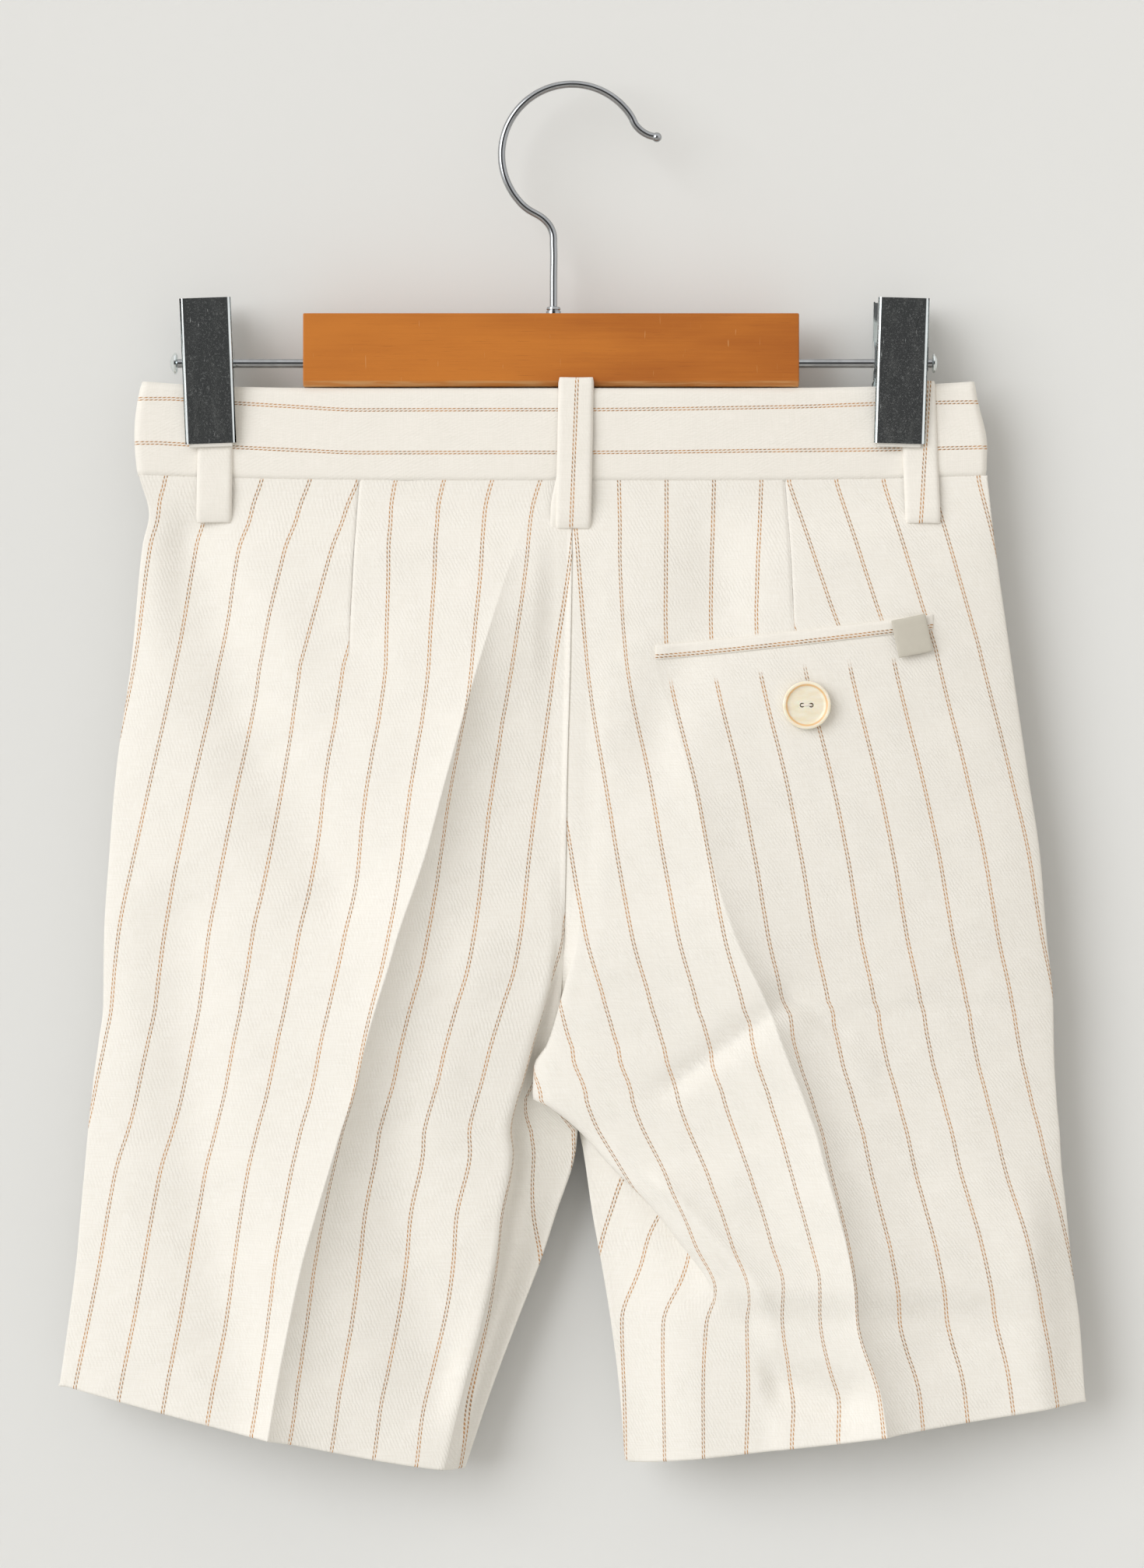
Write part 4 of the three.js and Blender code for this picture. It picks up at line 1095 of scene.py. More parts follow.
@dataclass
class BackPanel:
    """One half of the back, with its turn at the inner edge, its pressed crease and its dart."""

    side: Side
    turn_bluntness: float = 3.0
    turn_roll: float = 0.7
    ridge_steep: float = 8.0
    ridge_soft: float = 16.0
    ridge_gentle: float = 24.0
    level_from_z: float = -190.0
    level_to_z: float = -356.0
    seam_roll: float = 0.28
    dart_groove: float = 0.45
    strip_shares: tuple[float, ...] = (0, 0.05, 0.12, 0.22, 0.36, 0.5, 0.65, 0.82)
    turn_steps: int = 21
    contour_step: int = 15
    tuck_step: int = 5
    dart_offsets: tuple[float, ...] = (-1.4, -0.8, -0.35, 0.0, 0.3, 0.75, 1.4)

    def __post_init__(self) -> None:
        """Make the tracks from the tables."""
        self.at = tracks(BACK_STATIONS[self.side], STATION_NAMES)
        self.ridge = Track(RIDGES, RIDGE_COLUMN[self.side])
        self.turn_width = Track(TURN_WIDTHS[self.side], 1)
        self.stripe = {name: Track(rows, 1) for name, rows in STRIPES[self.side].items()}
        self.dart = DARTS[self.side]
        self.folds = MAIN_FOLDS[self.side] + SMALL_FOLDS[self.side]

    def seam_m(self, z: Array) -> Array:
        """Return the distance of the inner edge from the centre line."""
        seat = self.side.value * SEAT_X(z) + SEWN_GAP / 2.0
        return np.where(z > CROTCH_Z, seat, INSEAM_M[self.side](z))

    def turn_centre(self, z: Array) -> Array:
        """Return the middle of the turn, kept clear of the inner edge."""
        clear = self.seam_m(z) + self.turn_width(z) + 0.8
        return np.maximum(clear, self.at["fold"](z) + self.at["over"](z) - self.turn_width(z) / 2.0)

    def turn_end(self, z: Array) -> Array:
        """Return where the turn ends and the outer face starts."""
        return self.turn_centre(z) + self.turn_width(z)

    def dart_m(self, z: Array) -> Array:
        """Return the distance of the dart's line, carried on below the dart at an even share."""
        dart, crease, side = self.dart, self.at["crease"], self.at["side"]
        share = (dart.foot_m - crease(dart.foot_z)) / (side(dart.foot_z) - crease(dart.foot_z))
        down = np.clip((z - WAIST_Z) / (dart.foot_z - WAIST_Z), 0.0, 1.0)
        on_dart = mix(dart.top_m, dart.foot_m, 1.0 - (1.0 - down) ** 1.6)
        return np.where(z > dart.foot_z, on_dart, mix(crease(z), side(z), share))

    def depth(self, m: Array, z: Array) -> Array:
        """Return the depth of the outer face between the turn and the side seam."""
        start = self.turn_end(z)
        side = self.at["side"](z)
        t = np.clip((m - start) / (side - start), 0.0, 1.0)
        x = self.side.value * m
        swell = 6.0 * t * (1.0 - t) * smooth((-140.0 - z) / 60.0)
        body = mix(-SIDE_Y, self.at["high"](z), (1.0 - t**2.4) ** 0.75) - swell
        from_crease = x - self.side.value * self.at["crease"](z)
        steep = mix(self.ridge_soft, self.ridge_steep, smooth((SHARP_FROM[self.side] - z) / 50.0))
        reach = np.where(from_crease > 0, steep, self.ridge_gentle)
        ridge = self.ridge(z) * np.exp(-np.abs(from_crease) / reach)
        from_edges = smooth((side - m) / 16.0) * smooth((m - start) / 8.0)
        wave = 0.35 * ripple(x, z, 46.0, self.side.value) + 0.14 * ripple(x, z, 17.0, 2.0 * self.side.value)
        general = body - from_edges * (ridge - relief_of(self.folds, x, z) - wave)
        return under_band(x, z, general, Facing.BACK)

    def strip(self, f: Array, z: Array) -> tuple[Array, Array]:
        """Return distance and depth on the strip between the inner edge and the turn."""
        m = mix(self.seam_m(z), self.turn_centre(z) - self.turn_width(z), f)
        y = mix(self.at["seam_y"](z), self.at["low"](z), smooth(f))
        return m, under_band(self.side.value * m, z, y, Facing.BACK)

    def turn(self, f: Array, z: Array) -> tuple[Array, Array]:
        """Return distance and depth on the turn, which rolls over the strip behind it."""
        centre = self.turn_centre(z)
        width = self.turn_width(z)
        forward = self.at["fold"](z) - centre - width / 2.0
        lean = np.where(f > 0, forward, self.turn_roll * self.at["over"](z))
        hump = 1.0 - np.abs(2.0 * np.abs(f) - 1.0) ** self.turn_bluntness
        m = centre + width * f + lean * hump
        low = under_band(self.side.value * m, z, self.at["low"](z), Facing.BACK)
        high = self.depth(centre + width, z)
        return m, mix(low, high, (f + 1.0) / 2.0)

    def columns(self) -> list[tuple[Column, str]]:
        """Return the panel's columns from the inner edge to the side, each with its zone."""
        crease, side = self.at["crease"], self.at["side"]
        first, last = self.dart_offsets[0], self.dart_offsets[-1]
        turn_shares = np.linspace(-1, 1, self.turn_steps)

        def faced(m_of: Callable[[Array], Array]) -> Column:
            """Return a column whose depth is that of the outer face."""
            return lambda z: (m_of(z), self.depth(m_of(z), z))

        def between(low: Callable, high: Callable, shares: Sequence[float]) -> list[Column]:
            """Return columns at shares of the way from one line to another."""
            return [faced(lambda z, f=f: mix(low(z), high(z), f)) for f in shares]

        zones = {
            "strip": [lambda z, f=f: self.strip(f, z) for f in self.strip_shares],
            "turn": [lambda z, f=f: self.turn(np.full_like(z, f), z) for f in turn_shares],
            "inner": between(self.turn_end, crease, graded(42, 1.35, True)),
            "outer": between(crease, lambda z: self.dart_m(z) + first, graded(26, 1.35, False)[:-1]),
            "dart": [faced(lambda z, d=d: self.dart_m(z) + d) for d in self.dart_offsets],
            "flank": between(lambda z: self.dart_m(z) + last, side, graded(38, 1.3, True)),
        }
        return [(column, zone) for zone, made in zones.items() for column in made]

    def row_heights(self, top: Array, hem: Array) -> Array:
        """Return the height of every row in every column.

        Args:
            top: Height of each column's top.
            hem: Height of each column's hem.

        Returns:
            Heights, rows by columns.
        """
        rows = panel_rows()
        first, last = rows[0], rows[-1]
        share = np.clip((rows - self.level_from_z) / (first - self.level_from_z), 0.0, 1.0)
        upper = rows[:, None] + np.outer(share, top - first)
        fan = (rows - self.level_to_z) / (last - self.level_to_z)
        lower = mix(self.level_to_z, hem[None, :], fan[:, None])
        return np.where((rows < self.level_to_z)[:, None], lower, upper)

    def grid(self) -> ClothGrid:
        """Return the panel's outer face with its weave."""
        columns = self.columns()
        at_waist = np.array([place(np.array([WAIST_Z]))[0][0] for place, _ in columns])
        near_hem = np.array([place(np.array([NEAR_HEM_Z]))[0][0] for place, _ in columns])
        hem = hem_z(self.side, near_hem)
        z = self.row_heights(waist_seam_z(at_waist) + TUCKED_UNDER, hem)
        placed = [place(z[:, c]) for c, (place, _) in enumerate(columns)]
        m = np.stack([p[0] for p in placed], axis=1)
        y = np.stack([p[1] for p in placed], axis=1)
        from_seam = np.abs(m - m[:, :1])
        y = y + self.seam_roll * np.exp(-from_seam / 0.8) * smooth((z + 330.0) / 20.0)
        on_dart = smooth((z - self.dart.foot_z) / 18.0)
        y = y + self.dart_groove * on_dart * np.exp(-(((m - self.dart_m(z)) / 0.45) ** 2))
        points = np.stack([self.side.value * m, y, z], axis=-1)
        plain = PocketPlace().under_welt(points[..., 0], z) if self.side is Side.RIGHT else None
        weave = self.weave(points, z, [zone for _, zone in columns])
        return ClothGrid(points, weave, cloth_wall(z, hem), Facing.BACK, plain=plain)

    def weave(self, points: Array, z: Array, zones: list[str]) -> Array:
        """Count stripe pitches from the centre, evenly along the cloth between the known lines.

        Args:
            points: The outer face.
            z: Heights of the rows.
            zones: The zone of each column.

        Returns:
            Pitches across and along at each point.
        """
        run = run_across(points)
        turn = zones.index("turn")
        contour = turn + self.contour_step
        knots = [(0, self.stripe["seam"](z[:, 0]))]
        if "tuck" in self.stripe:
            tuck = turn + self.tuck_step
            share = run[:, tuck] / run[:, contour]
            plain = mix(self.stripe["seam"](z[:, tuck]), self.stripe["turn"](z[:, tuck]), share)
            knots.append((tuck, np.where(z[:, tuck] < CROTCH_Z, self.stripe["tuck"](z[:, tuck]), plain)))
        knots.append((contour, self.stripe["turn"](z[:, contour])))
        crease = zones.index("outer") - 1
        knots.append((crease, eased(self.stripe["crease"], z[:, crease], 10.0)))
        across = np.zeros_like(run)
        for (a, low), (b, high) in zip(knots, knots[1:]):
            across[:, a : b + 1] = mix(low[:, None], high[:, None], share_between(run, a, b))
        last = run.shape[1] - 1
        up_dart = (z[:, last] - self.dart.foot_z) / (WAIST_Z - self.dart.foot_z)
        taken = self.dart.intake * np.clip(up_dart, 0.0, 1.0)
        start = across[:, crease : crease + 1]
        side = eased(self.stripe["side"], z[:, last], 4.0) - taken
        across[:, crease:] = mix(start, side[:, None], share_between(run, crease, last))
        beyond = zones.index("dart") + self.dart_offsets.index(0.0) + 1
        across[:, beyond:] += taken[:, None]
        return np.stack([self.side.value * across, -z / STRIPE_PITCH], axis=-1)

    def build(self, finishes: Finishes) -> Piece:
        """Make the panel and dress it."""
        obj = self.grid().build(f"{self.side.word}_back_panel")
        return dress(obj, finishes.cloth, "striped_cloth", f"back_{self.side.word}")


@dataclass
class FrontPanel:
    """One half of the front, which the back view hides: one pressed crease and no other relief."""

    back: BackPanel
    crease_share: float = 0.5

    def __post_init__(self) -> None:
        """Make the tracks from the tables."""
        self.at = tracks(FRONT_STATIONS, ("seam", "seam_y", "high"))
        self.side = self.back.side

    def seam(self, z: Array) -> tuple[Array, Array]:
        """Return distance and depth of the inner edge."""
        above = z > CROTCH_Z
        m = np.where(above, self.side.value * self.at["seam"](z) + SEAM_GAP / 2.0, self.back.seam_m(z))
        y = np.where(above, self.at["seam_y"](z), self.back.at["seam_y"](z) + 2.0 * SIDE_Y)
        return m, y

    def depth(self, m: Array, z: Array) -> Array:
        """Return the depth of the outer face."""
        seam_m, seam_y = self.seam(z)
        side = self.back.at["side"](z)
        t = np.clip((m - seam_m) / (side - seam_m), 0.0, 1.0)
        inner = mix(seam_y, self.at["high"](z), smooth((m - seam_m) / 18.0))
        body = mix(SIDE_Y, inner, (1.0 - t**2.4) ** 0.75)
        crease = mix(seam_m, side, self.crease_share)
        ridge = FRONT_RIDGE(z) * np.exp(-np.abs(m - crease) / 14.0) * smooth((side - m) / 20.0)
        x = self.side.value * m
        wave = 0.3 * ripple(x, z, 52.0, 1.3) * smooth((side - m) / 20.0) * smooth((m - seam_m) / 12.0)
        return under_band(x, z, body + ridge + wave, Facing.FRONT)

    def grid(self) -> ClothGrid:
        """Return the panel's outer face with its weave."""
        half = self.crease_share
        inner, outer = half * graded(36, 1.3, True), half + (1 - half) * graded(36, 1.0, False)
        shares = np.concatenate([[0.0], inner, outer])

        def place(f: Array, z: Array) -> Array:
            """Return the distance from the centre line at a share of the way to the side."""
            return mix(self.seam(z)[0], self.back.at["side"](z), f)

        hem = hem_z(self.side, place(shares, np.array([NEAR_HEM_Z])))
        z = self.back.row_heights(waist_seam_z(place(shares, np.array([WAIST_Z]))) + TUCKED_UNDER, hem)
        m = np.stack([place(f, z[:, c]) for c, f in enumerate(shares)], axis=1)
        y = np.stack([self.depth(m[:, c], z[:, c]) for c in range(len(shares))], axis=1)
        points = np.stack([self.side.value * m, y, z], axis=-1)
        run = run_across(points)
        side_seam = self.back.stripe["side"](z[:, -1:]) + 0.4
        across = side_seam - (run[:, -1:] - run) / STRIPE_PITCH
        weave = np.stack([-self.side.value * across, -z / STRIPE_PITCH], axis=-1)
        return ClothGrid(points, weave, cloth_wall(z, hem), Facing.FRONT)

    def build(self, finishes: Finishes) -> Piece:
        """Make the panel and dress it."""
        obj = self.grid().build(f"{self.side.word}_front_panel")
        return dress(obj, finishes.cloth, "striped_cloth", f"front_{self.side.word}")


# Waistband and the pieces sewn on

UPPER_BAND_STRIPE: Table = [
    (144, -105.3), (110, -105.8), (74, -107.1), (0, -108.2), (-70, -108.2), (-95, -106.9), (-134, -104.3),
]
LOWER_BAND_STRIPE: Table = [
    (144, -120.4), (110, -121.2), (74, -121.7), (0, -122.5), (-70, -122.5), (-90, -121.7), (-139, -119.1),
]


@dataclass
class Waistband:
    """One half of the waistband, from centre back round the side end to centre front."""

    side: Side
    front_end: float
    lift: float
    wall: float = BAND_WALL
    lap_reach: float = 24.0
    steps: int = 110

    def end_m(self, v: Values) -> Array:
        """Return how far the side end reaches at a share v of the way down."""
        v = np.asarray(v, float)
        if self.side is Side.LEFT:
            return mix(144.4, 145.8, v) + 1.6 * np.sin(np.pi * v)
        return mix(135.4, 139.2, smooth(v * 1.4))

    def plan(self) -> Array:
        """Return the middle line in plan, as rows of distance and depth."""
        sign = self.side.value
        end = float(self.end_m(1.0))
        radius = float(band_depth(sign * end))
        straight = end - radius - self.wall / 2.0
        back_m = np.linspace(SEAM_GAP / 2.0, straight, self.steps)
        back = np.stack([back_m, -band_depth(sign * back_m)], axis=1)
        angles = np.radians(np.linspace(75.0, -75.0, 9))
        turn = np.stack([straight + radius * np.cos(angles), -radius * np.sin(angles)], axis=1)
        front_m = np.linspace(straight, self.front_end, self.steps)
        into_lap = (self.front_end + 1.5 * self.lap_reach - front_m) / (self.lap_reach / 2.0)
        raised = self.lift * smooth(into_lap)
        front = np.stack([front_m, band_depth(sign * front_m) + raised], axis=1)
        return np.concatenate([back, turn, front])

    def section(self) -> Array:
        """Return the band's cross section, as rows of share down and offset outwards."""
        faces = np.linspace(0.0, 1.0, 15)
        swell = 0.22 * np.sin(np.pi * faces) ** 0.6
        outer = np.stack([faces, self.wall / 2.0 - 0.22 + swell], axis=1)
        inner = np.stack([faces[::-1], np.full(15, -self.wall / 2.0)], axis=1)
        outer[0, 1] -= 0.3
        outer[-1, 1] -= 0.25
        inner[0, 1] += 0.3
        inner[-1, 1] += 0.3
        return np.concatenate([outer, inner])

    def build(self, finishes: Finishes) -> Piece:
        """Make the half band and dress it."""
        sign = self.side.value
        plan, section = self.plan(), self.section()
        run = np.concatenate([plan[1:], plan[-1:]]) - np.concatenate([plan[:1], plan[:-1]])
        outward = np.stack([-run[:, 1], run[:, 0]], axis=1)
        outward = -outward / np.linalg.norm(outward, axis=1, keepdims=True)
        reference = float(self.end_m(1.0))
        length = run_across(plan)
        rings, weave = [], []
        for v, offset in section:
            m = plan[:, 0]
            stretch = np.where(m > 0, mix(1.0, float(self.end_m(v)) / reference, smooth(m / reference)), 1.0)
            x_middle = sign * m * stretch
            z = mix(band_top_z(x_middle), waist_seam_z(x_middle), v)
            pucker = 0.16 * ripple(length, z, 30.0, 3.0 + sign) if offset > 0 else 0.0
            reach = offset + pucker
            x = sign * (m * stretch + outward[:, 0] * reach)
            y = plan[:, 1] + outward[:, 1] * reach
            rings.append(np.stack([x, y, z], axis=1))
            stripes = self.stripe_count(x_middle, z)
            weave.append(np.stack([stripes, sign * length / STRIPE_PITCH], axis=1))
        count, around = len(plan), len(section)
        points = np.concatenate(rings)
        number = np.arange(count * around).reshape(around, count)
        wrapped = np.concatenate([number, number[:1]])
        quads = np.stack([wrapped[:-1, :-1], wrapped[:-1, 1:], wrapped[1:, 1:], wrapped[1:, :-1]], axis=-1)
        faces = quads.reshape(-1, 4).tolist()
        for ring in (number[:, 0].tolist(), number[:, -1].tolist()):
            faces += [[ring[i], ring[i + 1], ring[-2 - i], ring[-1 - i]] for i in range(around // 2 - 1)]
        obj = mesh_object(f"{self.side.word}_waistband", points, faces, np.concatenate(weave))
        return dress(obj, finishes.band, "band_cloth", f"waistband_{self.side.word}")

    @staticmethod
    def stripe_count(x: Array, z: Array) -> Array:
        """Count stripe pitches up the band, so that the two stripes lie at 0 and 1."""
        # The tables run along X, so X takes the place of height here
        lower = Track(LOWER_BAND_STRIPE, 1)(x)
        upper = Track(UPPER_BAND_STRIPE, 1)(x)
        return (z - lower) / (upper - lower)


@dataclass
class ClothFace:
    """The outer face of the whole garment, for the pieces that lie on it."""

    backs: dict[Side, BackPanel]
    fronts: dict[Side, FrontPanel]

    def depth(self, x: Array, z: Array, facing: Facing) -> Array:
        """Return how far the face stands out at each place, away from the centre plane.

        Args:
            x: Places across.
            z: Heights.
            facing: The side that is asked for.

        Returns:
            Distances, positive on both sides.
        """
        band = band_depth(x) + BAND_WALL / 2.0
        result = np.zeros_like(x, dtype=float)
        for side in Side:
            m = side.value * x
            mine = m >= 0 if side is Side.RIGHT else m > 0
            back = self.backs[side]
            if facing is Facing.BACK:
                y = -back.depth(np.maximum(m, back.turn_end(z)), z)
            else:
                y = self.fronts[side].depth(m, z)
            result = np.where(mine, y, result)
        seam = waist_seam_z(x)
        result = np.where(z > seam - 6.0, np.maximum(result, band), result)
        return np.where(z > seam, band, result)


@dataclass
class BeltLoop:
    """A belt loop: a strap that is sewn at both ends and stands off the band between them."""

    name: str
    node: str
    facing: Facing
    top: Pair
    bottom: Pair
    bulge: float
    stripe_top: float = 0.5
    stripe_bottom: float = 0.5
    width: float = 11.0
    wall: float = 1.2
    lift: float = 0.35
    seam_lift: float = 1.0
    under_shift: float = 0.0
    steps: int = 44

    def strap(self, face: ClothFace, from_v: float, shift: float, lift: float, wall: float) -> ClothGrid:
        """Return the grid of the strap, or of the end that is turned under it.

        Args:
            face: The cloth that it lies on.
            from_v: Share of the way down where it starts.
            shift: How far it lies to one side.
            lift: How far it stands off the cloth.
            wall: Its thickness.

        Returns:
            The strap's outer face.
        """
        v = np.linspace(from_v, 1.0, self.steps)[:, None]
        u = np.array([-0.5, -0.48, -0.44, -0.36, -0.2, 0.0, 0.2, 0.36, 0.44, 0.48, 0.5])[None, :]
        z = np.broadcast_to(mix(self.top[1], self.bottom[1], v), (self.steps, u.size)).copy()
        x = mix(self.top[0], self.bottom[0], v) + u * self.width + shift * smooth((v - from_v) / 0.3)
        under = np.max(face.depth(x, z, self.facing), axis=1, keepdims=True)
        under = np.convolve(np.pad(under[:, 0], 2, mode="edge"), np.ones(5) / 5.0, mode="valid")[:, None]
        over_seam = self.seam_lift * smooth((v - 0.55) / 0.25) * smooth((1.0 - v) / 0.12)
        arch = self.bulge * np.sin(np.pi * np.clip(v, 0.0, 1.0))
        rounding = 0.45 * (1.0 - np.clip((0.5 - np.abs(u)) * 14.0, 0.0, 1.0)) ** 2
        rounding = rounding + 0.5 * (1.0 - np.clip((1.0 - v) * 22.0, 0.0, 1.0)) ** 2
        pucker = 0.12 * ripple(x, z, 14.0, 5.0)
        y = self.facing.value * (under + lift + over_seam + arch + wall - rounding + pucker)
        points = np.stack([x, y, z], axis=-1)
        line = mix(self.stripe_top, self.stripe_bottom, v)
        weave = np.stack([(x - line) / STRIPE_PITCH, -z / STRIPE_PITCH], axis=-1)
        return ClothGrid(points, weave, np.full(x.shape, wall), self.facing, (1.0, 1.0, 1.0, 1.0))

    def build(self, face: ClothFace, finishes: Finishes) -> list[Piece]:
        """Make the loop, and its turned-under end where that shows."""
        main = self.strap(face, 0.0, 0.0, self.lift, self.wall).build(self.name)
        made = [dress(main, finishes.band, "band_cloth", self.node)]
        if self.under_shift:
            end = self.strap(face, 0.58, self.under_shift, 0.05, 0.5).build(f"{self.name}_turned_end")
            made.append(dress(end, finishes.band, "band_cloth"))
        return made


@dataclass
class Patch:
    """A flat piece that follows the cloth under it, moved out from it."""

    name: str
    facing: Facing
    corner: Callable[[Array, Array], tuple[Array, Array]]
    weave_of: Callable[[Array, Array, Array, Array], Array]
    lift: float
    wall: float
    shape: tuple[int, int]
    rounding: float = 0.3

    def build(self, face: ClothFace) -> Piece:
        """Make the patch.

        Args:
            face: The cloth that it lies on.

        Returns:
            The new object.
        """
        rows, columns = self.shape
        v, u = np.meshgrid(np.linspace(0, 1, rows), np.linspace(0, 1, columns), indexing="ij")
        x, z = self.corner(u, v)
        edge = np.minimum(np.minimum(u, 1 - u) * columns, np.minimum(v, 1 - v) * rows)
        out = self.lift + self.wall - self.rounding * (1.0 - smooth(edge / 2.5))
        y = self.facing.value * (face.depth(x, z, self.facing) + out)
        points = np.stack([x, y, z], axis=-1)
        weave, wall = self.weave_of(u, v, x, z), np.full(x.shape, self.wall)
        return ClothGrid(points, weave, wall, self.facing, (0.8, 0.8, 0.8, 0.8)).build(self.name)


@dataclass
class BackPocket(PocketPlace):
    """The pocket at the right back: its welt, the bare tab and the button."""

    button_x: float = 78.0
    button_z: float = -207.0
    button_radius: float = 8.0
    tab_corner: Pair = (106.6, -179.0)
    tab_across: Pair = (11.0, 2.3)
    tab_down: Pair = (2.5, -12.0)

    def welt(self) -> Patch:
        """Return the welt, with a stripe along its lower edge."""
        return Patch(
            "pocket_upper_welt", Facing.BACK,
            lambda u, v: (mix(self.left, self.right, u), self.top_z(u) - self.height * v),
            lambda u, v, x, z: np.stack([(v * self.height - 3.7) / STRIPE_PITCH, x / STRIPE_PITCH], axis=-1),
            0.25, 0.75, (12, 90), 0.45,
        )

    def tab(self) -> Patch:
        """Return the bare tab at the welt's outer end."""
        sides = list(zip(self.tab_corner, self.tab_across, self.tab_down))
        return Patch(
            "bare_tab", Facing.BACK,
            lambda u, v: tuple(c + a * u + d * v for c, a, d in sides),
            lambda u, v, x, z: np.stack([u, v], axis=-1),
            2.0, 0.7, (16, 16), 0.15,
        )

    def build(self, face: ClothFace, finishes: Finishes) -> list[Piece]:
        """Make the pocket's pieces and dress them."""
        upper = dress(self.welt().build(face), finishes.band, "band_cloth", "pocket_welt")
        tab = dress(self.tab().build(face), finishes.tab, "tab_cloth", "label_tab")
        y = float(face.depth(np.array([self.button_x]), np.array([self.button_z]), Facing.BACK)[0])
        button = Button("back_pocket_button", "pocket_button", Facing.BACK,
                        (self.button_x, -y - 0.9, self.button_z), self.button_radius)
        return [upper, tab, *button.build(finishes)]


@dataclass
class Button:
    """A rimmed button with two holes and its thread."""

    name: str
    node: str
    facing: Facing
    centre: Triple
    radius: float
    wall: float = 2.4
    hole_share: float = 0.1
    hole_offset: float = 0.19

    def build(self, finishes: Finishes) -> list[Piece]:
        """Turn the disc, cut its holes and sew it on."""
        disc = self.disc()
        resin = HornResin(f"{self.node}_resin", self.centre[0], self.centre[2], self.radius).build()
        dress(disc, resin, "button_resin", self.node)
        thread = self.thread()
        dress(thread, finishes.band, "band_cloth")
        return [disc, thread]

    def place(self, obj: Piece) -> None:
        """Turn a piece that was made face up, and put it on the cloth."""
        turn = Matrix.Rotation(math.radians(90.0 * -self.facing.value), 4, "X")
        obj.data.transform(shift(self.centre) @ turn)

    def disc(self) -> Piece:
        """Return the disc, shaped from a cylinder by insets."""
        select_none()
        bpy.ops.mesh.primitive_cylinder_add(vertices=96, radius=self.radius * MM, depth=self.wall * MM,
                                            location=(0, 0, self.wall * MM / 2))
        obj = bpy.context.active_object
        obj.name = self.name
        bpy.ops.object.transform_apply()
        edit_mode(True)
        least = 0.25 * math.pi * (self.radius * MM) ** 2
        for inset, drop in ((0.10, 0.0), (0.08, -0.3), (0.06, -0.55), (0.12, -0.1)):
            select_where(obj, Kind.FACE, lambda f: f.normal.z > 0.95 and f.calc_area() > least)
            bpy.ops.mesh.inset(thickness=inset * self.radius * MM, depth=0)
            bpy.ops.transform.translate(value=(0, 0, drop * MM))
        edit_mode(False)
        bevel(obj, 0.45, 4, 30.0)
        for x in (-self.hole_offset, self.hole_offset):
            cut_hole(obj, (x * self.radius, 0.0, 0.0), self.hole_share * self.radius, 8 * self.wall)
        smooth_by_angle(obj, 40.0)
        self.place(obj)
        return obj

    def thread(self) -> Piece:
        """Return the thread that runs from hole to hole and down to the cloth."""
        reach = self.hole_offset * self.radius
        drop = self.wall * 0.6
        points = [(-reach, 0, -0.6), (-reach, 0, drop * 0.7), (-reach * 0.6, 0, drop * 0.9), (0, 0, drop),
                  (reach * 0.6, 0, drop * 0.9), (reach, 0, drop * 0.7), (reach, 0, -0.6)]
        obj = wire(f"{self.name}_thread", points, self.hole_share * self.radius * 0.5, 3)
        self.place(obj)
        return obj


@dataclass
class Fly:
    """The fly at centre front, with a curved lower end."""

    width: float = 27.0
    overlap: float = 3.0
    top_z: float = -133.4
    straight: float = 62.0
    curve: float = 26.0

    def corner(self, u: Array, v: Array) -> tuple[Array, Array]:
        """Return the place at a share u across and v down, with the lower end curved."""
        length = self.straight + self.curve * np.sqrt(np.clip(1 - (1 - u) ** 2, 0, 1))
        return self.overlap - self.width * (1 - u), self.top_z - v * length

    def build(self, face: ClothFace, finishes: Finishes) -> Piece:
        """Make the fly and dress it."""
        patch = Patch(
            "front_fly", Facing.FRONT, self.corner,
            lambda u, v, x, z: np.stack([x / STRIPE_PITCH + 0.3, -z / STRIPE_PITCH], axis=-1),
            0.7, 1.0, (60, 26),
        )
        return dress(patch.build(face), finishes.cloth, "striped_cloth", "fly")


# Solid shapes made with operators


def select_where(obj: Piece, kind: Kind, wanted: Callable[..., bool]) -> None:
    """Select only the faces or edges that a test picks, in edit mode."""
    edit = bmesh.from_edit_mesh(obj.data)
    bpy.ops.mesh.select_all(action="DESELECT")
    bpy.ops.mesh.select_mode(type=kind.name)
    for part in getattr(edit, kind.value):
        part.select_set(bool(wanted(part)))
    edit.select_flush_mode()
    bmesh.update_edit_mesh(obj.data)


def shift(place: Sequence[float]) -> Matrix:
    """Return the move to a place in millimetres."""
    return Matrix.Translation(Vector(place) * MM)


def apply_modifier(obj: Piece, kind: str, **settings: object) -> None:
    """Add a modifier with its settings, and apply it."""
    select_only(obj)
    modifier = obj.modifiers.new("shaping", kind)
    for name, value in settings.items():
        setattr(modifier, name, value)
    bpy.ops.object.modifier_apply(modifier=modifier.name)


def block(name: str, low: Sequence[float], high: Sequence[float]) -> Piece:
    """Add a box between two corners, in millimetres."""
    select_none()
    centre = [(a + b) / 2 * MM for a, b in zip(low, high)]
    bpy.ops.mesh.primitive_cube_add(size=1, location=centre, scale=[(b - a) * MM for a, b in zip(low, high)])
    obj = bpy.context.active_object
    obj.name = name
    bpy.ops.object.transform_apply()
    return obj


def bevel(obj: Piece, width: float, segments: int, angle: float = 30.0) -> None:
    """Round every edge of a piece that is sharper than an angle."""
    limit = math.radians(angle)
    apply_modifier(obj, "BEVEL", width=width * MM, segments=segments, limit_method="ANGLE", angle_limit=limit)


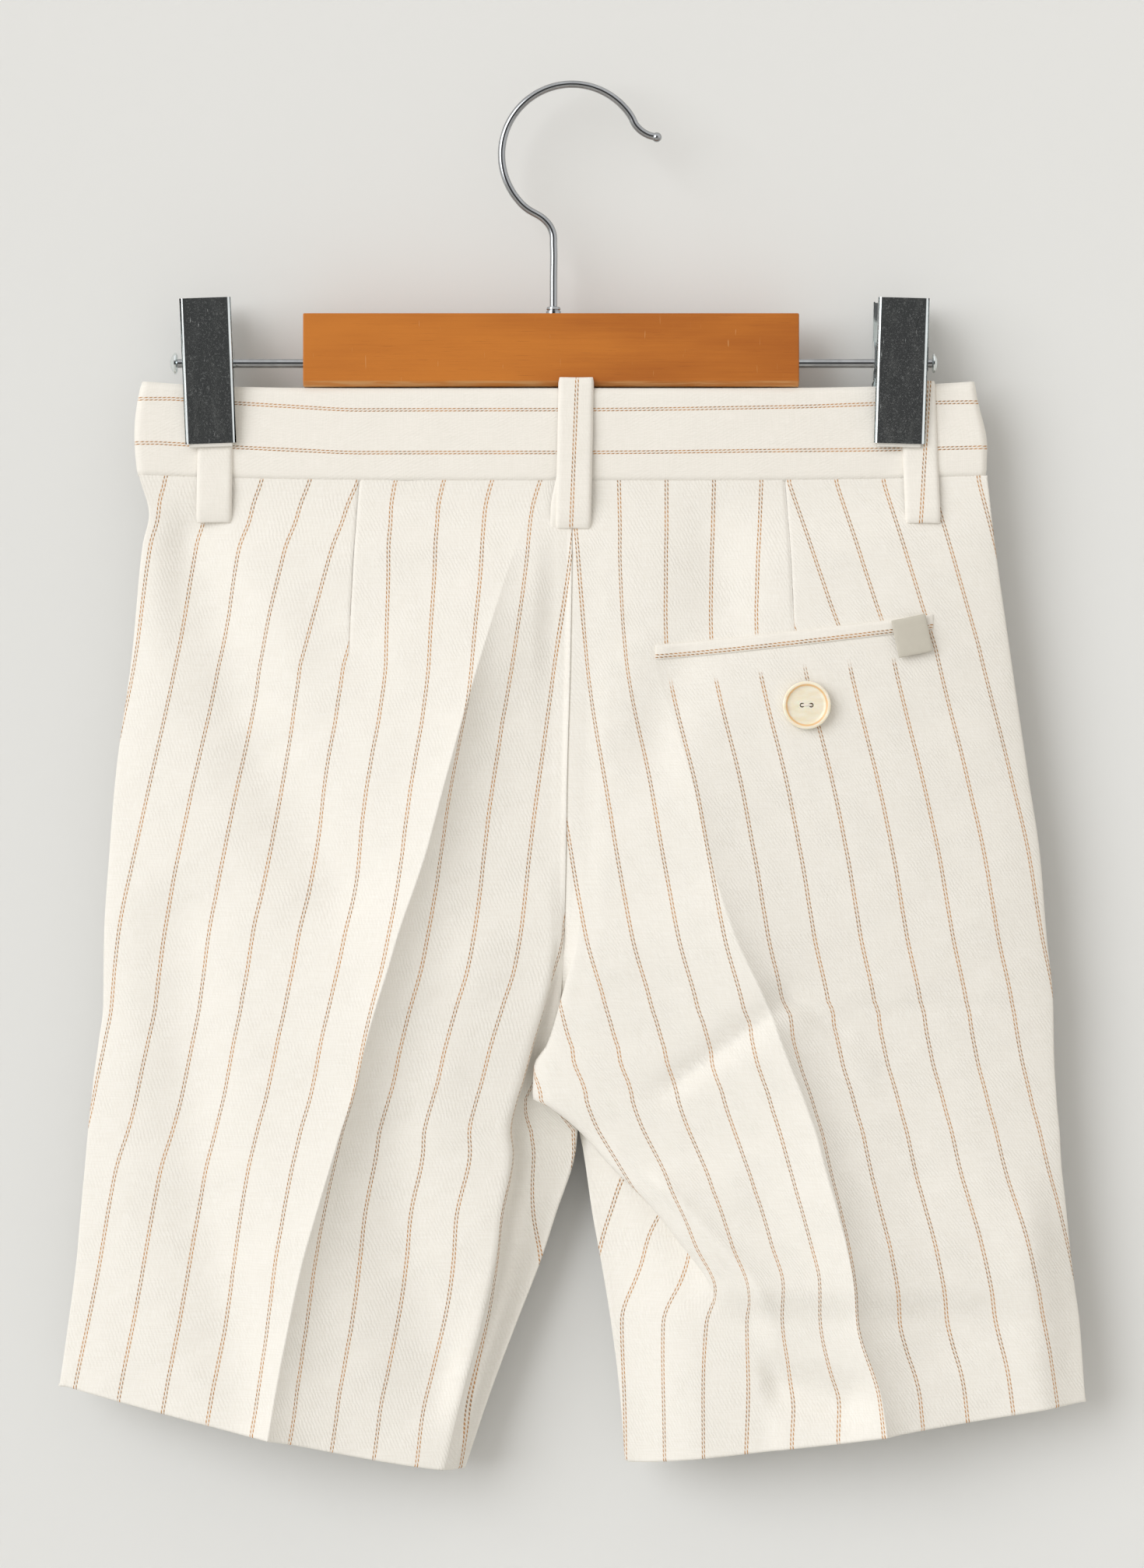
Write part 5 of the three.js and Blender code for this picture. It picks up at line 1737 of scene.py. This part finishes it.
def smooth_by_angle(obj: Piece, degrees: float = 35.0) -> None:
    """Shade a piece smooth but keep its sharp edges."""
    select_only(obj)
    bpy.ops.object.shade_smooth_by_angle(angle=math.radians(degrees))
    apply_modifier(obj, "WEIGHTED_NORMAL", keep_sharp=True)


def cut_hole(obj: Piece, centre: Sequence[float], radius: float, depth: float) -> None:
    """Cut a round hole along Z through a piece."""
    select_none()
    bpy.ops.mesh.primitive_cylinder_add(vertices=24, radius=radius * MM, depth=depth * MM,
                                        location=[c * MM for c in centre])
    cutter = bpy.context.active_object
    apply_modifier(obj, "BOOLEAN", operation="DIFFERENCE", object=cutter)
    bpy.data.objects.remove(cutter)


def wire(name: str, points: Sequence[Sequence[float]], radius: float, resolution: int = 8) -> Piece:
    """Bend a round wire through points, and make it a mesh.

    Args:
        name: The piece's name.
        points: Places that the wire passes near, in millimetres.
        radius: The wire's radius in millimetres.
        resolution: Fineness of its roundness.

    Returns:
        The new object, at the origin.
    """
    curve = bpy.data.curves.new(name, "CURVE")
    curve.dimensions = "3D"
    curve.bevel_depth = radius * MM
    curve.bevel_resolution = resolution
    curve.resolution_u = 12
    curve.use_fill_caps = True
    spline = curve.splines.new("BEZIER")
    spline.bezier_points.add(len(points) - 1)
    for knot, point in zip(spline.bezier_points, points):
        knot.co = Vector(point) * MM
        knot.handle_left_type = knot.handle_right_type = "AUTO"
    select_only(new_object(name, curve))
    bpy.ops.object.convert(target="MESH")
    made = bpy.context.active_object
    close_and_turn_outwards(made)
    made.data.shade_smooth()
    return made


def turned(name: str, profile: Sequence[Pair], segments: int = 48) -> Piece:
    """Spin a closed profile of radius and length about X.

    Args:
        name: The piece's name.
        profile: Radius and place along X, in millimetres.
        segments: Steps round the axis.

    Returns:
        The new object.
    """
    mesh = bpy.data.meshes.new(name)
    rim = [(x * MM, 0.0, r * MM) for r, x in profile]
    mesh.from_pydata(rim, [(i, i + 1) for i in range(len(rim) - 1)], [])
    obj = new_object(name, mesh)
    select_only(obj)
    edit_mode(True)
    bpy.ops.mesh.select_all(action="SELECT")
    bpy.ops.mesh.spin(steps=segments, angle=2 * math.pi, center=(0, 0, 0), axis=(1, 0, 0))
    edit_mode(False)
    close_and_turn_outwards(obj)
    smooth_by_angle(obj)
    return obj


def moved(obj: Piece, matrix: Matrix) -> Piece:
    """Move a piece's mesh, leaving its object at the origin."""
    obj.data.transform(matrix)
    return obj


# Hanger


@dataclass
class Bar:
    """The wooden bar of the hanger."""

    length: float = 165.8
    depth: float = 11.0
    height: float = 24.5
    centre_x: float = -7.0
    top_z: float = -75.9
    chamfer: float = 1.8

    @property
    def left(self) -> float:
        """The bar's left end."""
        return self.centre_x - self.length / 2

    @property
    def right(self) -> float:
        """The bar's right end."""
        return self.centre_x + self.length / 2

    def build(self, finishes: Finishes) -> Piece:
        """Make the bar with its chamfered lower edges."""
        half = self.depth / 2
        bottom = self.top_z - self.height
        obj = block("hanger_bar", (self.left, -half, bottom), (self.right, half, self.top_z))
        edit_mode(True)
        low = (bottom + 0.1) * MM

        def runs_along_foot(edge: bmesh.types.BMEdge) -> bool:
            """Tell whether an edge is one of the two long lower ones."""
            a, b = (v.co for v in edge.verts)
            return max(a.z, b.z) < low and abs(a.x - b.x) > 0.01

        select_where(obj, Kind.EDGE, runs_along_foot)
        bpy.ops.mesh.bevel(offset=self.chamfer * MM, segments=1)
        edit_mode(False)
        bevel(obj, 0.45, 3)
        smooth_by_angle(obj)
        return dress(obj, finishes.wood, "bar_wood", "wood_bar")


@dataclass
class Hook:
    """The hanger's wire hook with its ball tip, and the nut where it enters the bar."""

    bar_top: float
    from_degrees: float = 24.0
    to_degrees: float = 228.0
    steps: int = 22
    tip: Pair = (28.4, -16.5)
    tip_bend: Pair = (25.2, -15.6)
    tip_radius: float = 1.65

    NECK = ((-8.8, -44.6), (-6.6, -48.2), (STEM_X, -53.0), (STEM_X, -64.0))
    NUT = (
        (1.35, 0.0), (2.5, 0.0), (2.5, 0.9), (2.15, 1.1), (2.15, 1.3), (2.4, 1.6), (2.2, 2.3), (1.35, 2.6),
        (1.35, 0.0),
    )

    def path(self) -> list[tuple[float, float, float]]:
        """Return the places that the wire passes."""
        centre_z = WIRE_RADIUS - HOOK_RADIUS
        points = [(x, 0.0, z) for x, z in (self.tip, self.tip_bend)]
        for i in range(self.steps + 1):
            angle = math.radians(mix(self.from_degrees, self.to_degrees, i / self.steps))
            points.append((HOOK_RADIUS * math.cos(angle), 0.0, centre_z + HOOK_RADIUS * math.sin(angle)))
        return points + [(x, 0.0, z) for x, z in (*self.NECK, (STEM_X, self.bar_top + 0.2))]

    def build(self, finishes: Finishes) -> list[Piece]:
        """Make the hook and its nut."""
        obj = wire("hanger_hook", self.path(), WIRE_RADIUS)
        select_none()
        bpy.ops.mesh.primitive_uv_sphere_add(segments=32, ring_count=20, radius=self.tip_radius * MM,
                                             location=(self.tip[0] * MM, 0, self.tip[1] * MM))
        bpy.ops.object.shade_smooth()
        obj.select_set(True)
        bpy.context.view_layer.objects.active = obj
        bpy.ops.object.join()
        dress(obj, finishes.wire, "hanger_chrome", "hook")
        nut = turned("hook_ferrule", self.NUT, 40)
        moved(nut, shift((STEM_X, 0, self.bar_top + 0.1)) @ Matrix.Rotation(-math.pi / 2, 4, "Y"))
        dress(nut, finishes.wire, "hanger_chrome", "hook_nut")
        return [obj, nut]


@dataclass
class ClipPlate:
    """A bent steel plate of a clip: a face, two flanges, and two ears that the rod passes."""

    name: str
    node: str
    facing: Facing
    half_width: float
    ear: float
    flange: float
    wall: float = 0.5
    top: float = 21.2
    bottom: float = -27.3
    at_rod: float = 8.71
    lean: float = math.atan(5.0 / 48.5)
    corner: float = 1.3

    def build(self) -> Piece:
        """Make the plate in the clip's own frame, whose origin is on the rod."""
        obj = block(self.name, (-self.half_width, -self.wall, self.bottom), (self.half_width, 0.0, self.top))
        inner = self.half_width - self.wall
        edit_mode(True)
        cuts = [((s * inner, 0, 0), (1, 0, 0)) for s in (-1, 1)]
        foot, tip = self.ear + 2.0, self.ear * 0.8
        cuts += [((0, 0, z), (0, 0, 1)) for z in (-foot, -tip, tip, foot)]
        for place, normal in cuts:
            bpy.ops.mesh.select_all(action="SELECT")
            bpy.ops.mesh.bisect(plane_co=[p * MM for p in place], plane_no=normal)
        self.extrude_flanges(obj, inner)
        bpy.ops.mesh.select_all(action="SELECT")
        bpy.ops.mesh.normals_make_consistent(inside=False)

        def on_face(vertex: bmesh.types.BMVert) -> bool:
            """Tell whether a point lies on the plate's outer face."""
            return abs(vertex.co.y + self.wall * MM) < TINY

        def at_width(edge: bmesh.types.BMEdge, width: float) -> bool:
            """Tell whether an edge lies at a distance from the plate's middle."""
            return all(abs(abs(v.co.x) - width * MM) < TINY for v in edge.verts)

        def is_corner(edge: bmesh.types.BMEdge) -> bool:
            """Tell whether an edge is part of a long outer corner."""
            a, b = edge.verts
            upright = abs(a.co.z - b.co.z) > 10 * TINY
            return at_width(edge, self.half_width) and on_face(a) and on_face(b) and upright

        select_where(obj, Kind.EDGE, lambda e: at_width(e, inner) and any(on_face(v) for v in e.verts))
        bpy.ops.mesh.dissolve_edges(use_verts=True)
        select_where(obj, Kind.EDGE, is_corner)
        bpy.ops.mesh.bevel(offset=self.corner * MM, segments=6)
        edit_mode(False)
        bevel(obj, 0.16, 2, 40.0)
        smooth_by_angle(obj, 50.0)
        turn = Matrix.Translation((0, -self.at_rod * MM, 0)) @ Matrix.Rotation(self.lean, 4, "X")
        moved(obj, turn)
        if self.facing is Facing.FRONT:
            moved(obj, Matrix.Rotation(math.pi, 4, "Z"))
        return obj

    def extrude_flanges(self, obj: Piece, inner: float) -> None:
        """Bend the flanges and draw out the ears, in edit mode."""
        strip = (inner - 0.01) * MM

        def on_strip(face: bmesh.types.BMFace, y: float) -> bool:
            """Tell whether a face lies on a flange's edge at a depth."""
            centre = face.calc_center_median()
            return face.normal.y > 0.9 and abs(centre.x) > strip and centre.y > y

        select_where(obj, Kind.FACE, lambda f: on_strip(f, -TINY))
        bpy.ops.mesh.extrude_region_move(TRANSFORM_OT_translate={"value": (0, self.flange * MM, 0)})
        reach = self.at_rod - self.flange
        steps = ((self.flange, self.ear + 2.0, reach), (self.at_rod, self.ear * 0.8, self.ear))
        for depth, half_height, far in steps:
            near, tall = (depth - 0.01) * MM, half_height * MM
            select_where(obj, Kind.FACE, lambda f: on_strip(f, near) and abs(f.calc_center_median().z) < tall)
            bpy.ops.mesh.extrude_region_move(TRANSFORM_OT_translate={"value": (0, far * MM, 0)})


@dataclass
class Clip:
    """One clip on its rod: two plates, their pads, the spring and the rod's end cap."""

    side: Side
    x: float
    tilt: float
    cap_radius: float
    cap_length: float
    bar_end: float
    half_width: float = 8.5
    far_half_width: float = 7.4
    rod_reach: float = 10.5
    pad_half_width: float = 7.3
    spring_radius: float = 2.45
    spring_half_length: float = 4.6
    spring_wire: float = 0.45
    spring_turns: int = 6

    CAP = (
        (0.0, 0.0), (0.78, 0.0), (1.0, 0.18), (1.0, 0.42), (0.86, 0.6), (0.6, 0.85), (0.3, 1.0), (0.0, 1.0),
    )

    def frame(self) -> Matrix:
        """Return the clip's own frame, on the rod and tilted about it."""
        return shift((self.x, 0, ROD_Z)) @ Matrix.Rotation(math.radians(self.tilt), 4, "Y")

    def plates(self, finishes: Finishes) -> None:
        """Make both plates."""
        word = self.side.word
        near = ClipPlate(
            f"{word}_clip_near_plate", f"clip_{word}_back_view_plate", Facing.BACK, self.half_width, 4.0, 1.9
        )
        far = ClipPlate(
            f"{word}_clip_far_plate_bent", f"clip_{word}_far_plate", Facing.FRONT,
            self.far_half_width, 4.9, 1.6,
        )
        for plate in (near, far):
            dress(moved(plate.build(), self.frame()), finishes.plate, "hanger_chrome", plate.node)

    def pads(self, finishes: Finishes) -> None:
        """Make the two pads that hold the band."""
        word, half = self.side.word, self.pad_half_width
        for facing, near, node in ((Facing.BACK, 4.45, "pad"), (Facing.FRONT, 2.95, "far_pad")):
            low, high = sorted((facing.value * near, facing.value * 5.6))
            obj = block(f"{word}_clip_pad_{facing.name.lower()}", (-half, low, -28.4), (half, high, -18.3))
            bevel(obj, 0.4, 3)
            smooth_by_angle(obj)
            dress(moved(obj, self.frame()), finishes.pad, "clip_pad", f"clip_{word}_{node}")

    def spring(self, finishes: Finishes) -> None:
        """Wind the spring round the rod, with its two arms against the plates."""
        word = self.side.word
        radius, half, steps = self.spring_radius, self.spring_half_length, self.spring_turns * 12
        points = [(-half - 0.2, -6.6, 8.0), (-half, -4.6, 4.0)]
        for i in range(steps + 1):
            angle = math.radians(30.0 * i - 60.0)
            y, z = -radius * math.cos(angle), -radius * math.sin(angle)
            points.append((mix(-half, half, i / steps), y, z))
        points += [(half, 4.6, 4.0), (half + 0.2, 6.6, 8.0)]
        obj = wire(f"{word}_clip_spring_coil", points, self.spring_wire, 3)
        dress(moved(obj, self.frame()), finishes.wire, "hanger_chrome", f"clip_{word}_spring")

    def rod(self, finishes: Finishes) -> None:
        """Make the rod and its end cap."""
        word, sign, on_rod = self.side.word, self.side.value, Matrix.Translation((0, 0, ROD_Z * MM))
        outside = self.x + sign * self.rod_reach
        start = self.bar_end + sign * 0.1
        profile = [(0.0, start), (ROD_RADIUS, start), (ROD_RADIUS, outside), (0.0, outside)]
        rod = turned(f"{word}_clip_rod", profile, 32)
        dress(moved(rod, on_rod), finishes.wire, "hanger_chrome", f"rod_{word}")
        base = outside + sign * 0.1
        shape = [(self.cap_radius * q, base + sign * h * self.cap_length) for q, h in self.CAP]
        cap = turned(f"{word}_rod_cap_turned", shape, 40)
        dress(moved(cap, on_rod), finishes.plate, "hanger_chrome", f"rod_cap_{word}")

    def build(self, finishes: Finishes) -> None:
        """Make every piece of the clip."""
        self.plates(finishes)
        self.pads(finishes)
        self.spring(finishes)
        self.rod(finishes)


# Studio


@dataclass
class Studio:
    """Wall, floor, soft lights and the camera, none of them part of the object."""

    wall_y: float = 18.6
    floor_z: float = -900.0
    camera_distance: float = 1800.0
    camera_z: float = -233.2
    garment_y: float = -6.0
    view_height: float = 523.6
    sensor: float = 36.0
    wall_colour: Colour = (0.775, 0.782, 0.776)
    plane_size: float = 6000.0
    window_energy: float = 1.62
    window_spread: float = 46.0
    window_colour: Colour = (0.97, 0.985, 1.0)
    window_towards: Triple = (0.95, 1.0, -0.42)
    room_colour: Colour = (1.0, 0.955, 0.89)
    room_strength: float = 0.68
    mirror_range: tuple[float, ...] = (-0.985, -0.78, 0.052, 1.0)

    def build(self) -> None:
        """Set up the whole studio."""
        self.wall()
        self.floor()
        self.lights()
        self.surroundings()
        self.camera()
        bpy.context.scene.view_settings.view_transform = "Standard"

    def plane(self, name: str, place: Sequence[float], turn_x: float) -> Piece:
        """Add a stage plane.

        Args:
            name: Its name.
            place: Its centre in millimetres.
            turn_x: Its turn about X in degrees.

        Returns:
            The plane.
        """
        select_none()
        bpy.ops.mesh.primitive_plane_add(
            size=self.plane_size * MM, location=[p * MM for p in place], rotation=(math.radians(turn_x), 0, 0)
        )
        obj = bpy.context.active_object
        obj.name = name
        obj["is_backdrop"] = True
        return obj

    def wall(self) -> None:
        """Add the pale wall behind, which is clear from its far side."""
        obj = self.plane("backdrop_wall", (0, self.wall_y, -233), 90.0)
        shader = Shader("wall_paint", roughness=0.95)
        shader.set(Specular_IOR_Level=0.1)
        mottle = shader.noise(shader.place(), 3.0, 2.0)
        shader.paint(shader.blend(mottle, self.wall_colour, tuple(0.985 * c for c in self.wall_colour)))
        clear, either = shader.add("BsdfTransparent"), shader.add("MixShader")
        behind = shader.add("NewGeometry")
        shader.links.new(behind.outputs["Backfacing"], either.inputs["Fac"])
        shader.links.new(shader.surface.outputs[0], either.inputs[1])
        shader.links.new(clear.outputs[0], either.inputs[2])
        shader.links.new(either.outputs[0], shader.nodes["Material Output"].inputs["Surface"])
        obj.data.materials.append(shader.material)

    def floor(self) -> None:
        """Add the pale floor, well under the object."""
        obj = self.plane("pale_floor", (0, 0, self.floor_z), 0.0)
        shader = Shader("floor_paint", roughness=0.9)
        shader.paint((0.72, 0.715, 0.7))
        obj.data.materials.append(shader.material)

    def lights(self) -> None:
        """Add the wide soft light of a window at the upper left."""
        data = bpy.data.lights.new("window_light", "SUN")
        data.energy = self.window_energy
        data.angle = math.radians(self.window_spread)
        data.color = self.window_colour
        obj = new_object("window_light", data)
        obj.rotation_euler = Vector(self.window_towards).to_track_quat("-Z", "Y").to_euler()

    def surroundings(self) -> None:
        """Add the room's light, darker for mirrors than for cloth."""
        world = bpy.data.worlds.new("room")
        bpy.context.scene.world = world
        world.use_nodes = True
        nodes, links = world.node_tree.nodes, world.node_tree.links
        nodes.clear()
        output = nodes.new("ShaderNodeOutputWorld")
        soft, seen = nodes.new("ShaderNodeBackground"), nodes.new("ShaderNodeBackground")
        either = nodes.new("ShaderNodeMixShader")
        soft.inputs["Color"].default_value = (*self.room_colour, 1.0)
        soft.inputs["Strength"].default_value = self.room_strength
        path = nodes.new("ShaderNodeLightPath")
        direction = nodes.new("ShaderNodeTexCoord")
        split = nodes.new("ShaderNodeSeparateXYZ")
        ramp = nodes.new("ShaderNodeMapRange")
        ramp.interpolation_type = "SMOOTHSTEP"
        links.new(direction.outputs["Generated"], split.inputs[0])
        links.new(split.outputs["Y"], ramp.inputs["Value"])
        for name, value in zip(("From Min", "From Max", "To Min", "To Max"), self.mirror_range):
            ramp.inputs[name].default_value = value
        links.new(ramp.outputs["Result"], seen.inputs["Color"])
        links.new(path.outputs["Is Glossy Ray"], either.inputs["Fac"])
        links.new(soft.outputs[0], either.inputs[1])
        links.new(seen.outputs[0], either.inputs[2])
        links.new(either.outputs[0], output.inputs["Surface"])

    def camera(self) -> None:
        """Add the camera, straight on, framed as the photograph is."""
        data = bpy.data.cameras.new("camera")
        data.sensor_width = self.sensor
        data.lens = self.sensor * (self.camera_distance + self.garment_y) / self.view_height
        obj = new_object("camera", data)
        obj.location = Vector((0, -self.camera_distance, self.camera_z)) * MM
        obj.rotation_euler = (math.radians(90), 0, 0)
        bpy.context.scene.camera = obj


@dataclass
class Shorts:
    """The whole garment."""

    finishes: Finishes

    LOOPS = (
        BeltLoop("centre_back_loop", "belt_loop_back", Facing.BACK, (1.4, -98.0), (0.4, -147.6), 1.2,
                 1.7, -0.3, under_shift=-2.0),
        BeltLoop("left_back_loop", "belt_loop_left", Facing.BACK, (-119.1, -99.0), (-119.8, -145.4), 0.0,
                 -111.0, -111.0),
        BeltLoop("right_back_loop", "belt_loop_right", Facing.BACK, (115.6, -99.0), (117.4, -145.6), 0.0,
                 119.5, 116.6),
        BeltLoop("left_front_loop", "belt_loop_front_left", Facing.FRONT, (-72.0, -99.5), (-72.0, -146.0),
                 1.2, -73.0, -73.0),
        BeltLoop("right_front_loop", "belt_loop_front_right", Facing.FRONT, (68.0, -99.5), (68.0, -146.0),
                 1.2, 66.0, 66.0),
    )

    def build(self) -> None:
        """Make every cloth piece."""
        backs = {side: BackPanel(side) for side in Side}
        fronts = {side: FrontPanel(backs[side]) for side in Side}
        face = ClothFace(backs, fronts)
        panels = {side: backs[side].build(self.finishes) for side in Side}
        front_panels = {side: fronts[side].build(self.finishes) for side in Side}
        bands = {
            Side.LEFT: Waistband(Side.LEFT, -14.0, BAND_WALL + 0.35).build(self.finishes),
            Side.RIGHT: Waistband(Side.RIGHT, -10.0, 0.0).build(self.finishes),
        }
        loops = {loop.node: loop.build(face, self.finishes) for loop in self.LOOPS}
        pocket = BackPocket().build(face, self.finishes)
        fly = Fly().build(face, self.finishes)
        centre = (4.0, float(band_depth(0.0)) + BAND_WALL * 1.5 + 0.65, -116.0)
        waist_button = Button("front_waist_button", "waist_button", Facing.FRONT, centre, 7.0)
        left = [*loops["belt_loop_back"], *loops["belt_loop_left"], *loops["belt_loop_front_left"]]
        left += waist_button.build(self.finishes)
        right = [*loops["belt_loop_right"], *loops["belt_loop_front_right"]]
        for side, sewn_on in ((Side.LEFT, []), (Side.RIGHT, pocket)):
            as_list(sewn_on)
        for side, sewn_on in ((Side.LEFT, [fly]), (Side.RIGHT, [])):
            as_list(sewn_on)
        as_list(left)


def main() -> None:
    """Build the frame, the hanger, the shorts and the studio, in this order."""
    logging.basicConfig(level=logging.INFO, format="%(name)s: %(message)s")
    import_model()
    finishes = Finishes()
    bar = Bar()
    bar.build(finishes)
    Hook(bar.top_z).build(finishes)
    Clip(Side.LEFT, -121.6, -2.0, 3.6, 2.4, bar.left).build(finishes)
    Clip(Side.RIGHT, 110.1, 1.5, 3.3, 1.8, bar.right, far_half_width=9.0).build(finishes)
    Shorts(finishes).build()
    Studio().build()
    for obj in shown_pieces():
        LOG.info("%s: %d faces", obj.name, len(obj.data.polygons))


if __name__ == "__main__":
    main()
